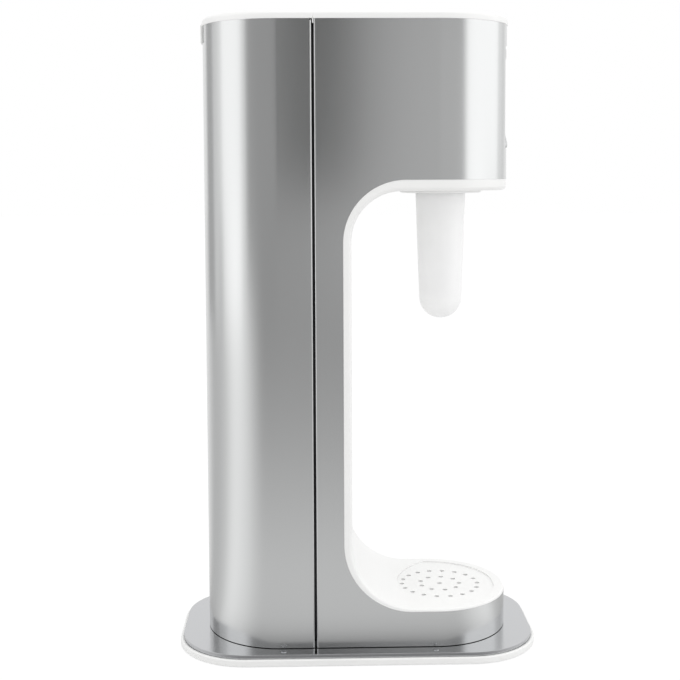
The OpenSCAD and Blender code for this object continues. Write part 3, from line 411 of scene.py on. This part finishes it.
def make_piece(name, bm, material, node, body):
    """Turns a bmesh in millimetres into a piece that stands for a CAD node on a body, when one is given."""
    bmesh.ops.scale(bm, vec=(MM, MM, MM), verts=bm.verts)
    mesh = bpy.data.meshes.new(name)
    bm.to_mesh(mesh)
    bm.free()
    mesh.materials.append(material)
    piece = bpy.data.objects.new(name, mesh)
    bpy.context.collection.objects.link(piece)
    if node:
        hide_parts(node)
        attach(piece, body)
    return piece


def settle(piece):
    """Applies the piece's modifiers to its mesh, shades it smooth and creases its sharp edges."""
    seen = piece.evaluated_get(bpy.context.evaluated_depsgraph_get())
    mesh = bpy.data.meshes.new_from_object(seen)
    piece.modifiers.clear()
    piece.data = mesh
    mesh.shade_smooth()
    mesh.set_sharp_from_angle(angle=math.radians(CREASE_DEG))
    even = piece.modifiers.new("even normals", "WEIGHTED_NORMAL")
    even.keep_sharp = True


def thicken(piece, thickness):
    """Gives a sheet its wall, inwards from the face that shows."""
    wall = piece.modifiers.new("wall", "SOLIDIFY")
    wall.thickness = thickness * MM
    wall.offset = -1
    wall.use_even_offset = True


bm = skin_sheet([(SEAM_FRONT, SKIN_Z0, 0), (FRONT_X, SKIN_Z0, 0), (FRONT_X, BAY_Z0, 0),
                 (BAY_X, BAY_Z0, BAY_FLOOR_R), (BAY_X, BAY_Z1, BAY_ROOF_R), (FRONT_X, BAY_Z1, 0),
                 (FRONT_X, SKIN_Z1, 0), (SEAM_FRONT, SKIN_Z1, 0)], FRONT_X, SEAM_FRONT)
for co, no in (((0, WINDOW_HALF, 0), (0, 1, 0)), ((0, -WINDOW_HALF, 0), (0, 1, 0)),
               ((0, 0, WINDOW_Z[0]), (0, 0, 1)), ((0, 0, WINDOW_Z[1]), (0, 0, 1))):
    front = [f for f in bm.faces if f.calc_center_median().x > FRONT_X - CORNER_R
             and f.calc_center_median().z > BAY_Z1]
    around = list({v for f in front for v in f.verts} | {e for f in front for e in f.edges} | set(front))
    bmesh.ops.bisect_plane(bm, geom=around, dist=CUT_MM, plane_co=co, plane_no=no)
inside = [f for f in bm.faces if f.calc_center_median().x > FRONT_X - CORNER_R
          and abs(f.calc_center_median().y) < WINDOW_HALF
          and WINDOW_Z[0] < f.calc_center_median().z < WINDOW_Z[1]]
bmesh.ops.delete(bm, geom=inside, context="FACES")
front_skin = make_piece("front_skin_sheet", bm, steel_skin, "front_skin", "frame")
thicken(front_skin, SKIN_T)
settle(front_skin)


# Rear skin: the same steel bent round the rear, on its white cover. It tilts away with it.
# Its top corners beside the seam are rounded, which leaves the small notch in the joint.
SEAM_CORNER_R = 1.0
bm = skin_sheet([(REAR_X, SKIN_Z0, 0), (SEAM_REAR, SKIN_Z0, 0), (SEAM_REAR, SKIN_Z1, SEAM_CORNER_R),
                 (REAR_X, SKIN_Z1, 0)], REAR_X, SEAM_REAR)
rear_skin = make_piece("rear_skin_sheet", bm, steel_skin, "rear_skin", "rear_case")
thicken(rear_skin, SKIN_T)
settle(rear_skin)


# Inner liner: a white ABS moulding that lines the bay, inside the cut edge of the front skin.
# Its rim is rounded and ends 0.15 mm below the steel's face. The moulded faces have a fine,
# even spark-eroded texture of 0.1 mm, drawn at 0.5 mm so that it softens the gloss.
FLOWS_PER_M = 14.0
FLOW_RANGE = {"From Min": 0.3, "From Max": 0.7}
GLOSS_SPREAD = 0.04
PALEST = 1.0
DULLEST = 0.975


def moulded_plastic(name, colour, roughness, texture_mm, relief):
    """An opaque moulded plastic with a fine texture and a faint unevenness of its gloss."""
    material, tree = new_material(name)
    place = add(tree, "ShaderNodeTexCoord")
    grain = add(tree, "ShaderNodeTexNoise", {"Scale": 1 / (MM * texture_mm), "Detail": 2.0},
                {"Vector": place.outputs["Object"]})
    flow = add(tree, "ShaderNodeTexNoise", {"Scale": FLOWS_PER_M, "Detail": 2.0},
               {"Vector": place.outputs["Object"]})
    rough = add(tree, "ShaderNodeMapRange",
                {**FLOW_RANGE, "To Min": roughness - GLOSS_SPREAD, "To Max": roughness + GLOSS_SPREAD},
                {"Value": flow.outputs[0]})
    tone = add(tree, "ShaderNodeMapRange", {**FLOW_RANGE, "To Min": DULLEST, "To Max": PALEST},
               {"Value": flow.outputs[0]})
    tint = add(tree, "ShaderNodeVectorMath", {"operation": "SCALE", 0: linear(colour)[:3]},
               {"Scale": tone.outputs[0]})
    height = add(tree, "ShaderNodeBump", {"Strength": relief, "Distance": BUMP_MM * MM},
                 {"Height": grain.outputs[0]})
    surface = add(tree, "ShaderNodeBsdfPrincipled", {"IOR": 1.53},
                  {"Base Color": tint.outputs[0], "Roughness": rough.outputs[0],
                   "Normal": height.outputs[0]})
    add(tree, "ShaderNodeOutputMaterial", None, {"Surface": surface.outputs[0]})
    return material


white_abs = moulded_plastic("moulded_white_abs", "F6F6F5", roughness=0.32, texture_mm=0.5, relief=0.15)
LINER_INSET = 0.15
LINER_X = FRONT_X - LINER_INSET
LINER_FACE_X = -4.5
LINER_FACE_Z0 = 33.2
LINER_FACE_Z1 = 311.4
LINER_FLOOR_R = 42.5
LINER_ROOF_R = 33.0
RIM_R = 2.7
FOOT_RIM_R = 1.2
NOZZLE_X = 59.0
COLLAR_HOLE_D = 46.6
TRAY_INSET = 7.0
TRAY_REAR_R = 60.0
TRAY_REAR_X = 89.0
ROD_STEPS = 64
RIM_STEPS = 8
OVERCUT = 5.0


def plan_prism(inset, z0, z1, length=BODY_L, width=BODY_W, radius=CORNER_R):
    """A closed upright prism on the body's plan, or another rounded rectangle, drawn in by inset."""
    bm = bmesh.new()
    bmesh.ops.create_grid(bm, x_segments=1, y_segments=1, size=1)
    bmesh.ops.scale(bm, vec=(length / 2 - inset, width / 2 - inset, 1), verts=bm.verts)
    bmesh.ops.translate(bm, vec=(0, 0, z0), verts=bm.verts)
    for dot in bm.verts[:]:
        round_off(bm, [dot], radius - inset, ROUND_STEPS, "VERTICES")
    moved = bmesh.ops.extrude_face_region(bm, geom=bm.faces[:])["geom"]
    bmesh.ops.translate(bm, vec=(0, 0, z1 - z0), verts=verts_in(moved))
    bmesh.ops.recalc_face_normals(bm, faces=bm.faces)
    return bm


def rod(x, y, z0, z1, diameter, bm=None):
    """A closed upright round solid, added to bm or to a new bmesh."""
    bm = bm or bmesh.new()
    made = bmesh.ops.create_cone(bm, cap_ends=True, segments=ROD_STEPS, radius1=diameter / 2,
                                 radius2=diameter / 2, depth=z1 - z0)
    bmesh.ops.translate(bm, vec=(x, y, (z0 + z1) / 2), verts=made["verts"])
    return bm


def combine(piece, tool, operation="DIFFERENCE"):
    """Cuts a piece with a tool solid, or keeps what they share, and removes the tool."""
    if isinstance(tool, bmesh.types.BMesh):
        tool = make_piece("tool", tool, piece.data.materials[0], None, None)
    step = piece.modifiers.new("cut", "BOOLEAN")
    step.operation = operation
    step.solver = "EXACT"
    step.object = tool
    settle(piece)
    bpy.data.objects.remove(tool)


bm = upright_prism([(LINER_X, BAY_Z1, 0), (BAY_X, BAY_Z1, BAY_ROOF_R), (BAY_X, BAY_Z0, BAY_FLOOR_R),
                    (LINER_X, BAY_Z0, 0), (LINER_X, LINER_FACE_Z0, 0),
                    (LINER_FACE_X, LINER_FACE_Z0, LINER_FLOOR_R),
                    (LINER_FACE_X, LINER_FACE_Z1, LINER_ROOF_R), (LINER_X, LINER_FACE_Z1, 0)],
                   BODY_W / 2 - LINER_INSET, LINER_X, CORNER_R - LINER_INSET)


def faces_bay(face):
    """True for a face of the liner that looks into the bottle's bay."""
    return abs(face.normal.y) < LEVEL_PART and face.normal.dot(BAY_MIDDLE - face.calc_center_median()) > 0


BAY_MIDDLE = Vector((60, 0, 170))
RIM_RISE = 40.0
# The rim's radius grows from the foot's to the full one over RIM_RISE.
weights = bm.edges.layers.float.new("bevel_weight_edge")
for edge in bm.edges:
    if [faces_bay(f) for f in edge.link_faces].count(True) == 1:
        rise = min(1, (min(v.co.z for v in edge.verts) - LINER_FACE_Z0) / RIM_RISE)
        edge[weights] = (FOOT_RIM_R + (RIM_R - FOOT_RIM_R) * rise) / RIM_R
inner_liner = make_piece("inner_liner_moulding", bm, white_abs, "inner_liner", "frame")
rim = inner_liner.modifiers.new("rim", "BEVEL")
rim.limit_method = "WEIGHT"
rim.width = RIM_R * MM
rim.segments = RIM_STEPS
rim.use_clamp_overlap = False
settle(inner_liner)


def tray_solid(name, inset, z0, z1, material, node, body):
    """A solid on the tray's plan: the body's plan drawn in, closed at the rear by an arc."""
    piece = make_piece(name, plan_prism(inset, z0, z1), material, node, body)
    arc = rod(TRAY_REAR_X, 0, z0 - OVERCUT, z1 + OVERCUT, 2 * (TRAY_REAR_R + TRAY_INSET - inset))
    combine(piece, arc, "INTERSECT")
    return piece


combine(inner_liner, tray_solid("tool", TRAY_INSET, BAY_Z0 - OVERCUT, LINER_FACE_Z0 + OVERCUT,
                                white_abs, None, None))
combine(inner_liner, rod(NOZZLE_X, 0, LINER_FACE_Z1 - OVERCUT, BAY_Z1 + OVERCUT, COLLAR_HOLE_D))


# Covers: white ABS mouldings that close the top. The front one is a cap on the head, whose small
# ribs fill the seam's upper ends. The rear one is the case's own top, with its shell inside the
# steel and a tab for the finger.
COVER_Z1 = 427.6
COVER_LIP = 0.5
COVER_EDGE_R = 2.8
COVER_SPLIT = 0.4
SEAM_X = -29.2
SKIRT_INSET = 1.3
SKIRT_T = 2.0
SKIRT_H = 9.6
SHELL_Z0 = 8.3
SHELL_X = -31.15
TAB_X = -105.2
TAB_BACK_X = -103.68
TAB_ROOT_X = -103.0
TAB_HALF = 12.0
TAB_Z0 = 411.2
TAB_Z1 = 423.6
# For a strip bent to the body's round end: half the end's flat width, the slices of the strip,
# how far from its ends a pressed form fades and the least share that enters the fade.
NOSE_FLAT = 2.2
STRIP_STEPS = 24
PRESS_RUN = 6.0
PRESS_REST = 0.25
STRIP_END_STEPS = 3
RIB_L = 0.75
RIB_W = 3.3
RIB_X = -28.975
RIB_Y = 51.65
RIB_DROP = 2.8
RIB_SUNK = 0.3
SKIRT_X = SEAM_X + 4
SKIRT_SUNK = 0.7
SHELL_SUNK = 1.0
TAB_SUNK = 0.2
TAB_END_R = 0.3
FINE_CUT_MM = 0.0001
FACING_PART = 0.9


def level_edges(bm, z):
    """The edges whose two ends lie at a height."""
    return [e for e in bm.edges if all(near(v.co.z, z) for v in e.verts)]


def keep_side(bm, x, side):
    """Keeps what lies before (side 1) or behind (side -1) the plane at x and closes the cut."""
    everything = bm.verts[:] + bm.edges[:] + bm.faces[:]
    made = bmesh.ops.bisect_plane(bm, geom=everything, dist=FINE_CUT_MM, plane_co=(x, 0, 0),
                                  plane_no=(side, 0, 0), clear_inner=True)
    bmesh.ops.contextual_create(bm, geom=edges_in(made["geom_cut"]))
    bmesh.ops.recalc_face_normals(bm, faces=bm.faces)


def join_parts(*parts):
    """One bmesh from several."""
    whole = bmesh.new()
    for part in parts:
        mesh = bpy.data.meshes.new("part")
        part.to_mesh(mesh)
        part.free()
        whole.from_mesh(mesh)
        bpy.data.meshes.remove(mesh)
    return whole


def shell_band(inset, z0, z1, thickness):
    """An upright wall on the body's plan, as thick as given, inwards from inset."""
    outer = plan_prism(inset, z0, z1)
    inner = plan_prism(inset + thickness, z0, z1)
    for part in (outer, inner):
        flat = [f for f in part.faces if abs(f.normal.z) > FACING_PART]
        bmesh.ops.delete(part, geom=flat, context="FACES_ONLY")
    bmesh.ops.reverse_faces(inner, faces=inner.faces)
    wall = join_parts(outer, inner)
    for z in (z0, z1):
        bmesh.ops.bridge_loops(wall, edges=level_edges(wall, z))
    bmesh.ops.recalc_face_normals(wall, faces=wall.faces)
    return wall


def cover_top(side):
    """The part of the top cover before or behind the seam, with a rounded upper edge."""
    bm = plan_prism(-COVER_LIP, SKIN_Z1, COVER_Z1)
    round_off(bm, level_edges(bm, COVER_Z1), COVER_EDGE_R, steps=8)
    round_off(bm, level_edges(bm, SKIN_Z1), COVER_LIP / 2, steps=3)
    keep_side(bm, SEAM_X + side * COVER_SPLIT / 2, side)
    return bm


def bent_strip(corners, width, end_r, level_x=None):
    """A strip of a (x, z, radius) section, bent to the round end of the body's plan. What stands
    out beyond level_x fades out towards the strip's ends."""
    bm = bmesh.new()
    faces = rounded_outline(bm, corners, -width / 2)
    for _ in range(STRIP_STEPS):
        moved = bmesh.ops.extrude_face_region(bm, geom=faces)["geom"]
        faces = [g for g in moved if isinstance(g, bmesh.types.BMFace)]
        bmesh.ops.translate(bm, vec=(0, width / STRIP_STEPS, 0), verts=verts_in(moved))
    bmesh.ops.recalc_face_normals(bm, faces=bm.faces)
    ends = [f for f in bm.faces if abs(f.normal.y) > FACING_PART]
    round_off(bm, list({e for f in ends for e in f.edges}), end_r, STRIP_END_STEPS)
    middle = FRONT_X - CORNER_R
    for dot in bm.verts:
        if level_x and dot.co.x > level_x:
            fade = min(1, max(PRESS_REST, (width / 2 - abs(dot.co.y)) / PRESS_RUN))
            dot.co.x = level_x + (dot.co.x - level_x) * fade * fade * (3 - 2 * fade)
        turn = max(0, abs(dot.co.y) - NOSE_FLAT) / CORNER_R
        reach = abs(dot.co.x) - middle
        dot.co.x = math.copysign(middle + reach * math.cos(turn), dot.co.x)
        if turn:
            dot.co.y = math.copysign(NOSE_FLAT + reach * math.sin(turn), dot.co.y)
    bmesh.ops.recalc_face_normals(bm, faces=bm.faces)
    return bm


skirt = shell_band(SKIRT_INSET, SKIN_Z1 - SKIRT_H, SKIN_Z1 + SKIRT_SUNK, SKIRT_T)
keep_side(skirt, SKIRT_X, 1)
ribs = bmesh.new()
for side in (1, -1):
    made = bmesh.ops.create_cube(ribs, size=1)["verts"]
    bmesh.ops.scale(ribs, vec=(RIB_L, RIB_W, RIB_DROP + RIB_SUNK), verts=made)
    middle = (RIB_X, side * RIB_Y, SKIN_Z1 + (RIB_SUNK - RIB_DROP) / 2)
    bmesh.ops.translate(ribs, vec=middle, verts=made)
top_cover = make_piece("top_cover_moulding", join_parts(cover_top(1), skirt, ribs), white_abs,
                       "top_cover", "frame")
settle(top_cover)

shell = shell_band(SKIRT_INSET, SHELL_Z0, SKIN_Z1 + SHELL_SUNK, SKIRT_T)
keep_side(shell, SHELL_X, -1)
# The tab's section: x, z and radius of each corner, from its inner foot round to its root.
TAB_SECTION = [(TAB_BACK_X, TAB_Z0, 0.4), (TAB_X, TAB_Z0, 0.9), (TAB_X, TAB_Z1, 1.2),
               (TAB_ROOT_X, TAB_Z1, 0), (TAB_ROOT_X, SKIN_Z1 + TAB_SUNK, 0),
               (TAB_BACK_X, SKIN_Z1 + TAB_SUNK, 0)]
tab = bent_strip(TAB_SECTION, 2 * TAB_HALF, TAB_END_R)
rear_cover = make_piece("rear_cover_moulding", join_parts(cover_top(-1), shell, tab), white_abs,
                        "rear_cover", "rear_case")
settle(rear_cover)


# Base moulding: a shallow white ABS tray under the machine, with rounded edges and a rim
# round the recess that takes the steel plate. Pockets beneath it hold the feet and screws.
BASE_L = 244.6
BASE_W = 132.6
BASE_R = 48.0
BASE_Z0 = 0.4
RIM_Z = 5.0
RIM_W = 1.9
RECESS_Z = 4.6
FOOT_D = 16.0
FOOT_PLACES = [(x, y) for x in (-96.3, 96.3) for y in (-47.3, 47.3)]
FOOT_Z1 = 2.0
BASE_SCREWS = [(x, y) for x in (-75.0, -26.5, 76.7) for y in (-32.5, 32.5)]
BASE_HEAD_D = 7.6
BASE_HEAD_Z = 3.1
EDGE_TOP_R = 0.9
EDGE_FOOT_R = 0.6
FOOT_PLAY = 0.6
bm = plan_prism(0, BASE_Z0, RIM_Z, BASE_L, BASE_W, BASE_R)
round_off(bm, level_edges(bm, RIM_Z), EDGE_TOP_R, steps=6)
round_off(bm, level_edges(bm, BASE_Z0), EDGE_FOOT_R, steps=4)
top = max(bm.faces, key=lambda f: (round(f.calc_center_median().z, 3), f.calc_area()))
bmesh.ops.inset_individual(bm, faces=[top], thickness=RIM_W - EDGE_TOP_R)
floor_face = max(bm.faces, key=lambda f: (round(f.calc_center_median().z, 3), f.calc_area()))
sunk = bmesh.ops.extrude_face_region(bm, geom=[floor_face])["geom"]
bmesh.ops.delete(bm, geom=[floor_face], context="FACES_ONLY")
bmesh.ops.translate(bm, vec=(0, 0, RECESS_Z - RIM_Z), verts=verts_in(sunk))
bmesh.ops.recalc_face_normals(bm, faces=bm.faces)
base_moulding = make_piece("base_moulding_white", bm, white_abs, "base_moulding", "frame")
settle(base_moulding)
pockets = bmesh.new()
for x, y in FOOT_PLACES:
    rod(x, y, BASE_Z0 - OVERCUT, FOOT_Z1, FOOT_D + FOOT_PLAY, pockets)
for x, y in BASE_SCREWS:
    rod(x, y, BASE_Z0 - OVERCUT, BASE_HEAD_Z, BASE_HEAD_D, pockets)
combine(base_moulding, pockets)


# Base plate: 3 mm stainless steel with a satin surface and a barely broken edge, which lies in
# the rim's recess, stands above the rim and is held by four small screws. Its fine grain runs
# along the machine and mirrors more than the skins do.
PLATE_Z1 = 7.6
PLATE_INSET = 2.2
PLATE_EDGE_R = 0.15
satin_steel = brushed_metal("satin_stainless_plate", "C4C5C7", roughness=0.17,
                            grain_mm=(40, 0.7, 0.7), spread=0.025, relief=0.06)
bm = plan_prism(PLATE_INSET, RECESS_Z, PLATE_Z1, BASE_L, BASE_W, BASE_R)
round_off(bm, level_edges(bm, PLATE_Z1), PLATE_EDGE_R, steps=6)
base_plate = make_piece("base_plate_steel", bm, satin_steel, "base_plate", "frame")
settle(base_plate)


# Plate screws: four low heads of turned, zinc-plated steel with rounded edges, on shanks that
# hold the plate in the base moulding. They show as small dots beside the body.
TURN_STEPS = 96
CORNER_STEPS = 6
MERGE_MM = 0.0005


def turned(profile, x, y, rounds, steps=TURN_STEPS):
    """A solid turned about the upright axis at (x, y) from a closed (radius, z) profile, whose
    corners are rounded by rounds, a radius for each or 0."""
    bm = bmesh.new()
    dots = [bm.verts.new((x + r, y, z)) for r, z in profile]
    bm.faces.new(dots)
    for dot, radius in zip(dots, rounds):
        if radius:
            round_off(bm, [dot], radius, CORNER_STEPS, "VERTICES")
    bmesh.ops.delete(bm, geom=bm.faces[:], context="FACES_ONLY")
    on_axis = [e for e in bm.edges if all(near(v.co.x, x) for v in e.verts)]
    bmesh.ops.delete(bm, geom=on_axis, context="EDGES")
    bmesh.ops.spin(bm, geom=bm.verts[:] + bm.edges[:], cent=(x, y, 0), axis=(0, 0, 1),
                   angle=2 * math.pi, steps=steps, use_merge=True)
    bmesh.ops.remove_doubles(bm, verts=bm.verts, dist=MERGE_MM)
    bmesh.ops.recalc_face_normals(bm, faces=bm.faces)
    return bm


SCREW_HEAD_R = 1.9
SCREW_SHANK_R = 1.3
SCREW_Z0 = 1.3
SCREW_TOP_Z = 8.0
SCREW_EDGE_R = 0.3
SCREW_STEPS = 32
SCREW_X = 50.5
SCREW_Y = 59.0
SCREW_PROFILE = [(0, SCREW_Z0), (SCREW_SHANK_R, SCREW_Z0), (SCREW_SHANK_R, PLATE_Z1),
                 (SCREW_HEAD_R, PLATE_Z1), (SCREW_HEAD_R, SCREW_TOP_Z), (0, SCREW_TOP_Z)]
turned_steel = brushed_metal("turned_zinc_plated_steel", "B9BBBE", roughness=0.3,
                             grain_mm=(1.2, 1.2, 1.2), spread=0.04, relief=0.06)
heads = [turned(SCREW_PROFILE, x, y, [0, 0, 0, 0, SCREW_EDGE_R, 0], SCREW_STEPS)
         for x in (-SCREW_X, SCREW_X) for y in (-SCREW_Y, SCREW_Y)]
plate_screws = make_piece("plate_screw_heads", join_parts(*heads), turned_steel, "plate_screws", "frame")
settle(plate_screws)


# Drain grid: a round-fronted white ABS insert that lies sunk in the liner's foot, on the
# drip cup. Two rings of drilled holes and one in the middle let water through.
GRID_Z0 = 29.4
GRID_Z1 = 32.4
GRID_INSET = 7.05
DRAIN_D = 3.5
DRAIN_RINGS = ((1, 0.0), (9, 13.8), (18, 26.8))
drip_grid = tray_solid("drain_grid_insert", GRID_INSET, GRID_Z0, GRID_Z1, white_abs, "drip_grid", "drip_top")
drills = bmesh.new()
for count, ring_r in DRAIN_RINGS:
    for k in range(count):
        x = NOZZLE_X + ring_r * math.cos(2 * math.pi * k / count)
        y = ring_r * math.sin(2 * math.pi * k / count)
        rod(x, y, GRID_Z0 - OVERCUT, GRID_Z1 + OVERCUT, DRAIN_D, drills)
combine(drip_grid, drills)


# Bottle collar: a white ABS ring under the head that guides the bottle's neck. Its brim lies
# against the liner and its sleeve reaches up to the head's deck.
COLLAR_Z0 = 309.5
COLLAR_R = 28.0
SLEEVE_R = 23.0
SLEEVE_Z1 = 322.1
BORE_R = 18.7
BORE_EDGE_R = 0.6
BRIM_EDGE_R = 1.1
COLLAR_PROFILE = [(BORE_R, COLLAR_Z0), (COLLAR_R, COLLAR_Z0), (COLLAR_R, LINER_FACE_Z1),
                  (SLEEVE_R, LINER_FACE_Z1), (SLEEVE_R, SLEEVE_Z1), (BORE_R, SLEEVE_Z1)]
bm = turned(COLLAR_PROFILE, NOZZLE_X, 0, [BORE_EDGE_R, BRIM_EDGE_R, 0, 0, 0, 0])
bottle_collar = make_piece("bottle_collar_ring", bm, white_abs, "bottle_collar", "frame")
settle(bottle_collar)


# Nozzle cap: a milky polypropylene sleeve with a round end, pushed onto the neck's socket
# over the carbonation tube. It lets light through but shows nothing sharp behind it.
MILK_FLOWS_PER_M = 60.0
MILK_DULLEST = 0.97
GLOSS_LESS = 0.03
GLOSS_MORE = 0.05


def milky_plastic(name, colour, clear, roughness):
    """A cloudy plastic that passes some light and scatters the rest."""
    material, tree = new_material(name)
    place = add(tree, "ShaderNodeTexCoord")
    flow = add(tree, "ShaderNodeTexNoise", {"Scale": MILK_FLOWS_PER_M, "Detail": 2.0},
               {"Vector": place.outputs["Object"]})
    rough = add(tree, "ShaderNodeMapRange",
                {**FLOW_RANGE, "To Min": roughness - GLOSS_LESS, "To Max": roughness + GLOSS_MORE},
                {"Value": flow.outputs[0]})
    tone = add(tree, "ShaderNodeMapRange", {**FLOW_RANGE, "To Min": MILK_DULLEST, "To Max": PALEST},
               {"Value": flow.outputs[0]})
    tint = add(tree, "ShaderNodeVectorMath", {"operation": "SCALE", 0: linear(colour)[:3]},
               {"Scale": tone.outputs[0]})
    surface = add(tree, "ShaderNodeBsdfPrincipled", {"IOR": 1.49, "Transmission Weight": clear},
                  {"Base Color": tint.outputs[0], "Roughness": rough.outputs[0]})
    add(tree, "ShaderNodeOutputMaterial", None, {"Surface": surface.outputs[0]})
    return material


milky = milky_plastic("milky_polypropylene", "FFFFFF", clear=0.03, roughness=0.35)
CAP_R = 17.4
CAP_END_R = 14.7
CAP_Z0 = 222.4
CAP_Z1 = 316.4
CAP_T = 1.6
CAP_END_STEPS = 24
bm = bmesh.new()
bm.verts.new((NOZZLE_X, 0, CAP_Z0))
bmesh.ops.spin(bm, geom=bm.verts[:], cent=(NOZZLE_X, 0, CAP_Z0 + CAP_END_R), axis=(0, -1, 0),
               angle=math.pi / 2, steps=CAP_END_STEPS)
tip = max(bm.verts, key=lambda v: v.co.z)
side = bmesh.ops.extrude_vert_indiv(bm, verts=[tip])["verts"]
bmesh.ops.translate(bm, vec=(CAP_R - CAP_END_R, 0, CAP_Z1 - CAP_Z0 - CAP_END_R), verts=side)
bmesh.ops.spin(bm, geom=bm.verts[:] + bm.edges[:], cent=(NOZZLE_X, 0, 0), axis=(0, 0, 1),
               angle=2 * math.pi, steps=TURN_STEPS, use_merge=True)
bmesh.ops.remove_doubles(bm, verts=bm.verts, dist=MERGE_MM)
bmesh.ops.recalc_face_normals(bm, faces=bm.faces)
lowest = min(bm.faces, key=lambda f: f.calc_center_median().z)
if lowest.normal.z > 0:
    bmesh.ops.reverse_faces(bm, faces=bm.faces)
nozzle_cap = make_piece("nozzle_cap_sleeve", bm, milky, "nozzle_cap", "cap")
thicken(nozzle_cap, CAP_T)
settle(nozzle_cap)


# Lever paddle: a pressed stainless plate, curved with the head's front, that lies 1 mm deep
# in its window. A low brow borders its top and a lip at its foot takes the fingers. Both are
# pressed out of the plate and fade before its sides.
PADDLE_W = 38.0
PADDLE_Z0 = 339.8
PADDLE_Z1 = 407.2
PADDLE_X = 102.7
BROW_X = 103.4
BROW_Z = 400.2
LIP_X = 104.5
LIP_BASE_X = 104.0
LIP_FOOT_Z = 341.8
LIP_HEAD_Z = 344.8
LIP_Z = 349.8
BACK_X = 100.2
PADDLE_END_R = 0.25
# The plate's section: x, z and radius of each corner, from the back of its foot round the lip.
PADDLE_SECTION = [(BACK_X, PADDLE_Z0, 0.6), (LIP_BASE_X, PADDLE_Z0, 0.5), (LIP_X, LIP_FOOT_Z, 1.2),
                  (LIP_BASE_X, LIP_HEAD_Z, 1.7), (PADDLE_X, LIP_Z, 2.4), (PADDLE_X, BROW_Z, 0.4),
                  (BROW_X, BROW_Z, 0.3), (BROW_X, PADDLE_Z1, 1.0), (BACK_X, PADDLE_Z1, 0.6)]
bm = bent_strip(PADDLE_SECTION, PADDLE_W, PADDLE_END_R, PADDLE_X)
lever_paddle = make_piece("lever_paddle_plate", bm, steel_skin, "lever_paddle", "lever")
settle(lever_paddle)


# Parts inside: they keep their CAD shapes. Glass-filled nylon carries them, and the gas parts
# are brass and aluminium, as on any carbonator. Each takes its material through its slot.
nylon = moulded_plastic("glass_filled_nylon", "3A3C3F", roughness=0.45, texture_mm=0.9, relief=0.4)
grey_nylon = moulded_plastic("grey_chassis_nylon", "55585B", roughness=0.45, texture_mm=0.9, relief=0.3)
clear_tube = milky_plastic("milky_tube_plastic", "E9EBEA", clear=0.15, roughness=0.3)
pressed = brushed_metal("pressed_galvanised_steel", "A4A8AC", roughness=0.38,
                        grain_mm=(2.5, 2.5, 2.5), spread=0.07, relief=0.15)
spring_wire = brushed_metal("drawn_spring_steel", "B4B5B6", roughness=0.25,
                            grain_mm=(0.8, 0.8, 0.8), spread=0.04, relief=0.08)
cast_block = brushed_metal("anodised_aluminium_block", "9DA2A8", roughness=0.4,
                           grain_mm=(1.0, 1.0, 1.0), spread=0.05, relief=0.2)
cylinder_skin = brushed_metal("drawn_aluminium_cylinder", "C4C7CA", roughness=0.34,
                              grain_mm=(0.7, 0.7, 30), spread=0.05, relief=0.15)
brass = brushed_metal("turned_brass", "C9A24B", roughness=0.25,
                      grain_mm=(1.0, 1.0, 1.0), spread=0.05, relief=0.1)
seal_rubber = moulded_plastic("nitrile_rubber", "1C1D1E", roughness=0.6, texture_mm=0.8, relief=0.3)
foot_rubber = moulded_plastic("grey_foot_rubber", "55575A", roughness=0.65, texture_mm=0.8, relief=0.4)
MATERIAL_OF = {
    "chassis_plastic": grey_nylon, "tube_plastic": clear_tube, "pressed_steel": pressed,
    "spring_steel": spring_wire, "block_aluminium": cast_block, "cylinder_aluminium": cylinder_skin,
    "brass": brass, "seal_rubber": seal_rubber, "foot_rubber": foot_rubber,
    "screw_steel": turned_steel, "milky_plastic": milky, "white_moulding": white_abs,
    "brushed_steel": steel_skin, "satin_steel": satin_steel,
}
for part in frame["record"]["subparts"]:
    node = frame["nodes"][part["node"]]
    for socket in node.material_slots:
        socket.material = MATERIAL_OF[part["material_slot"]]
for name in ("carbonator_head", "lever_arm"):
    for socket in frame["nodes"][name].material_slots:
        socket.material = nylon
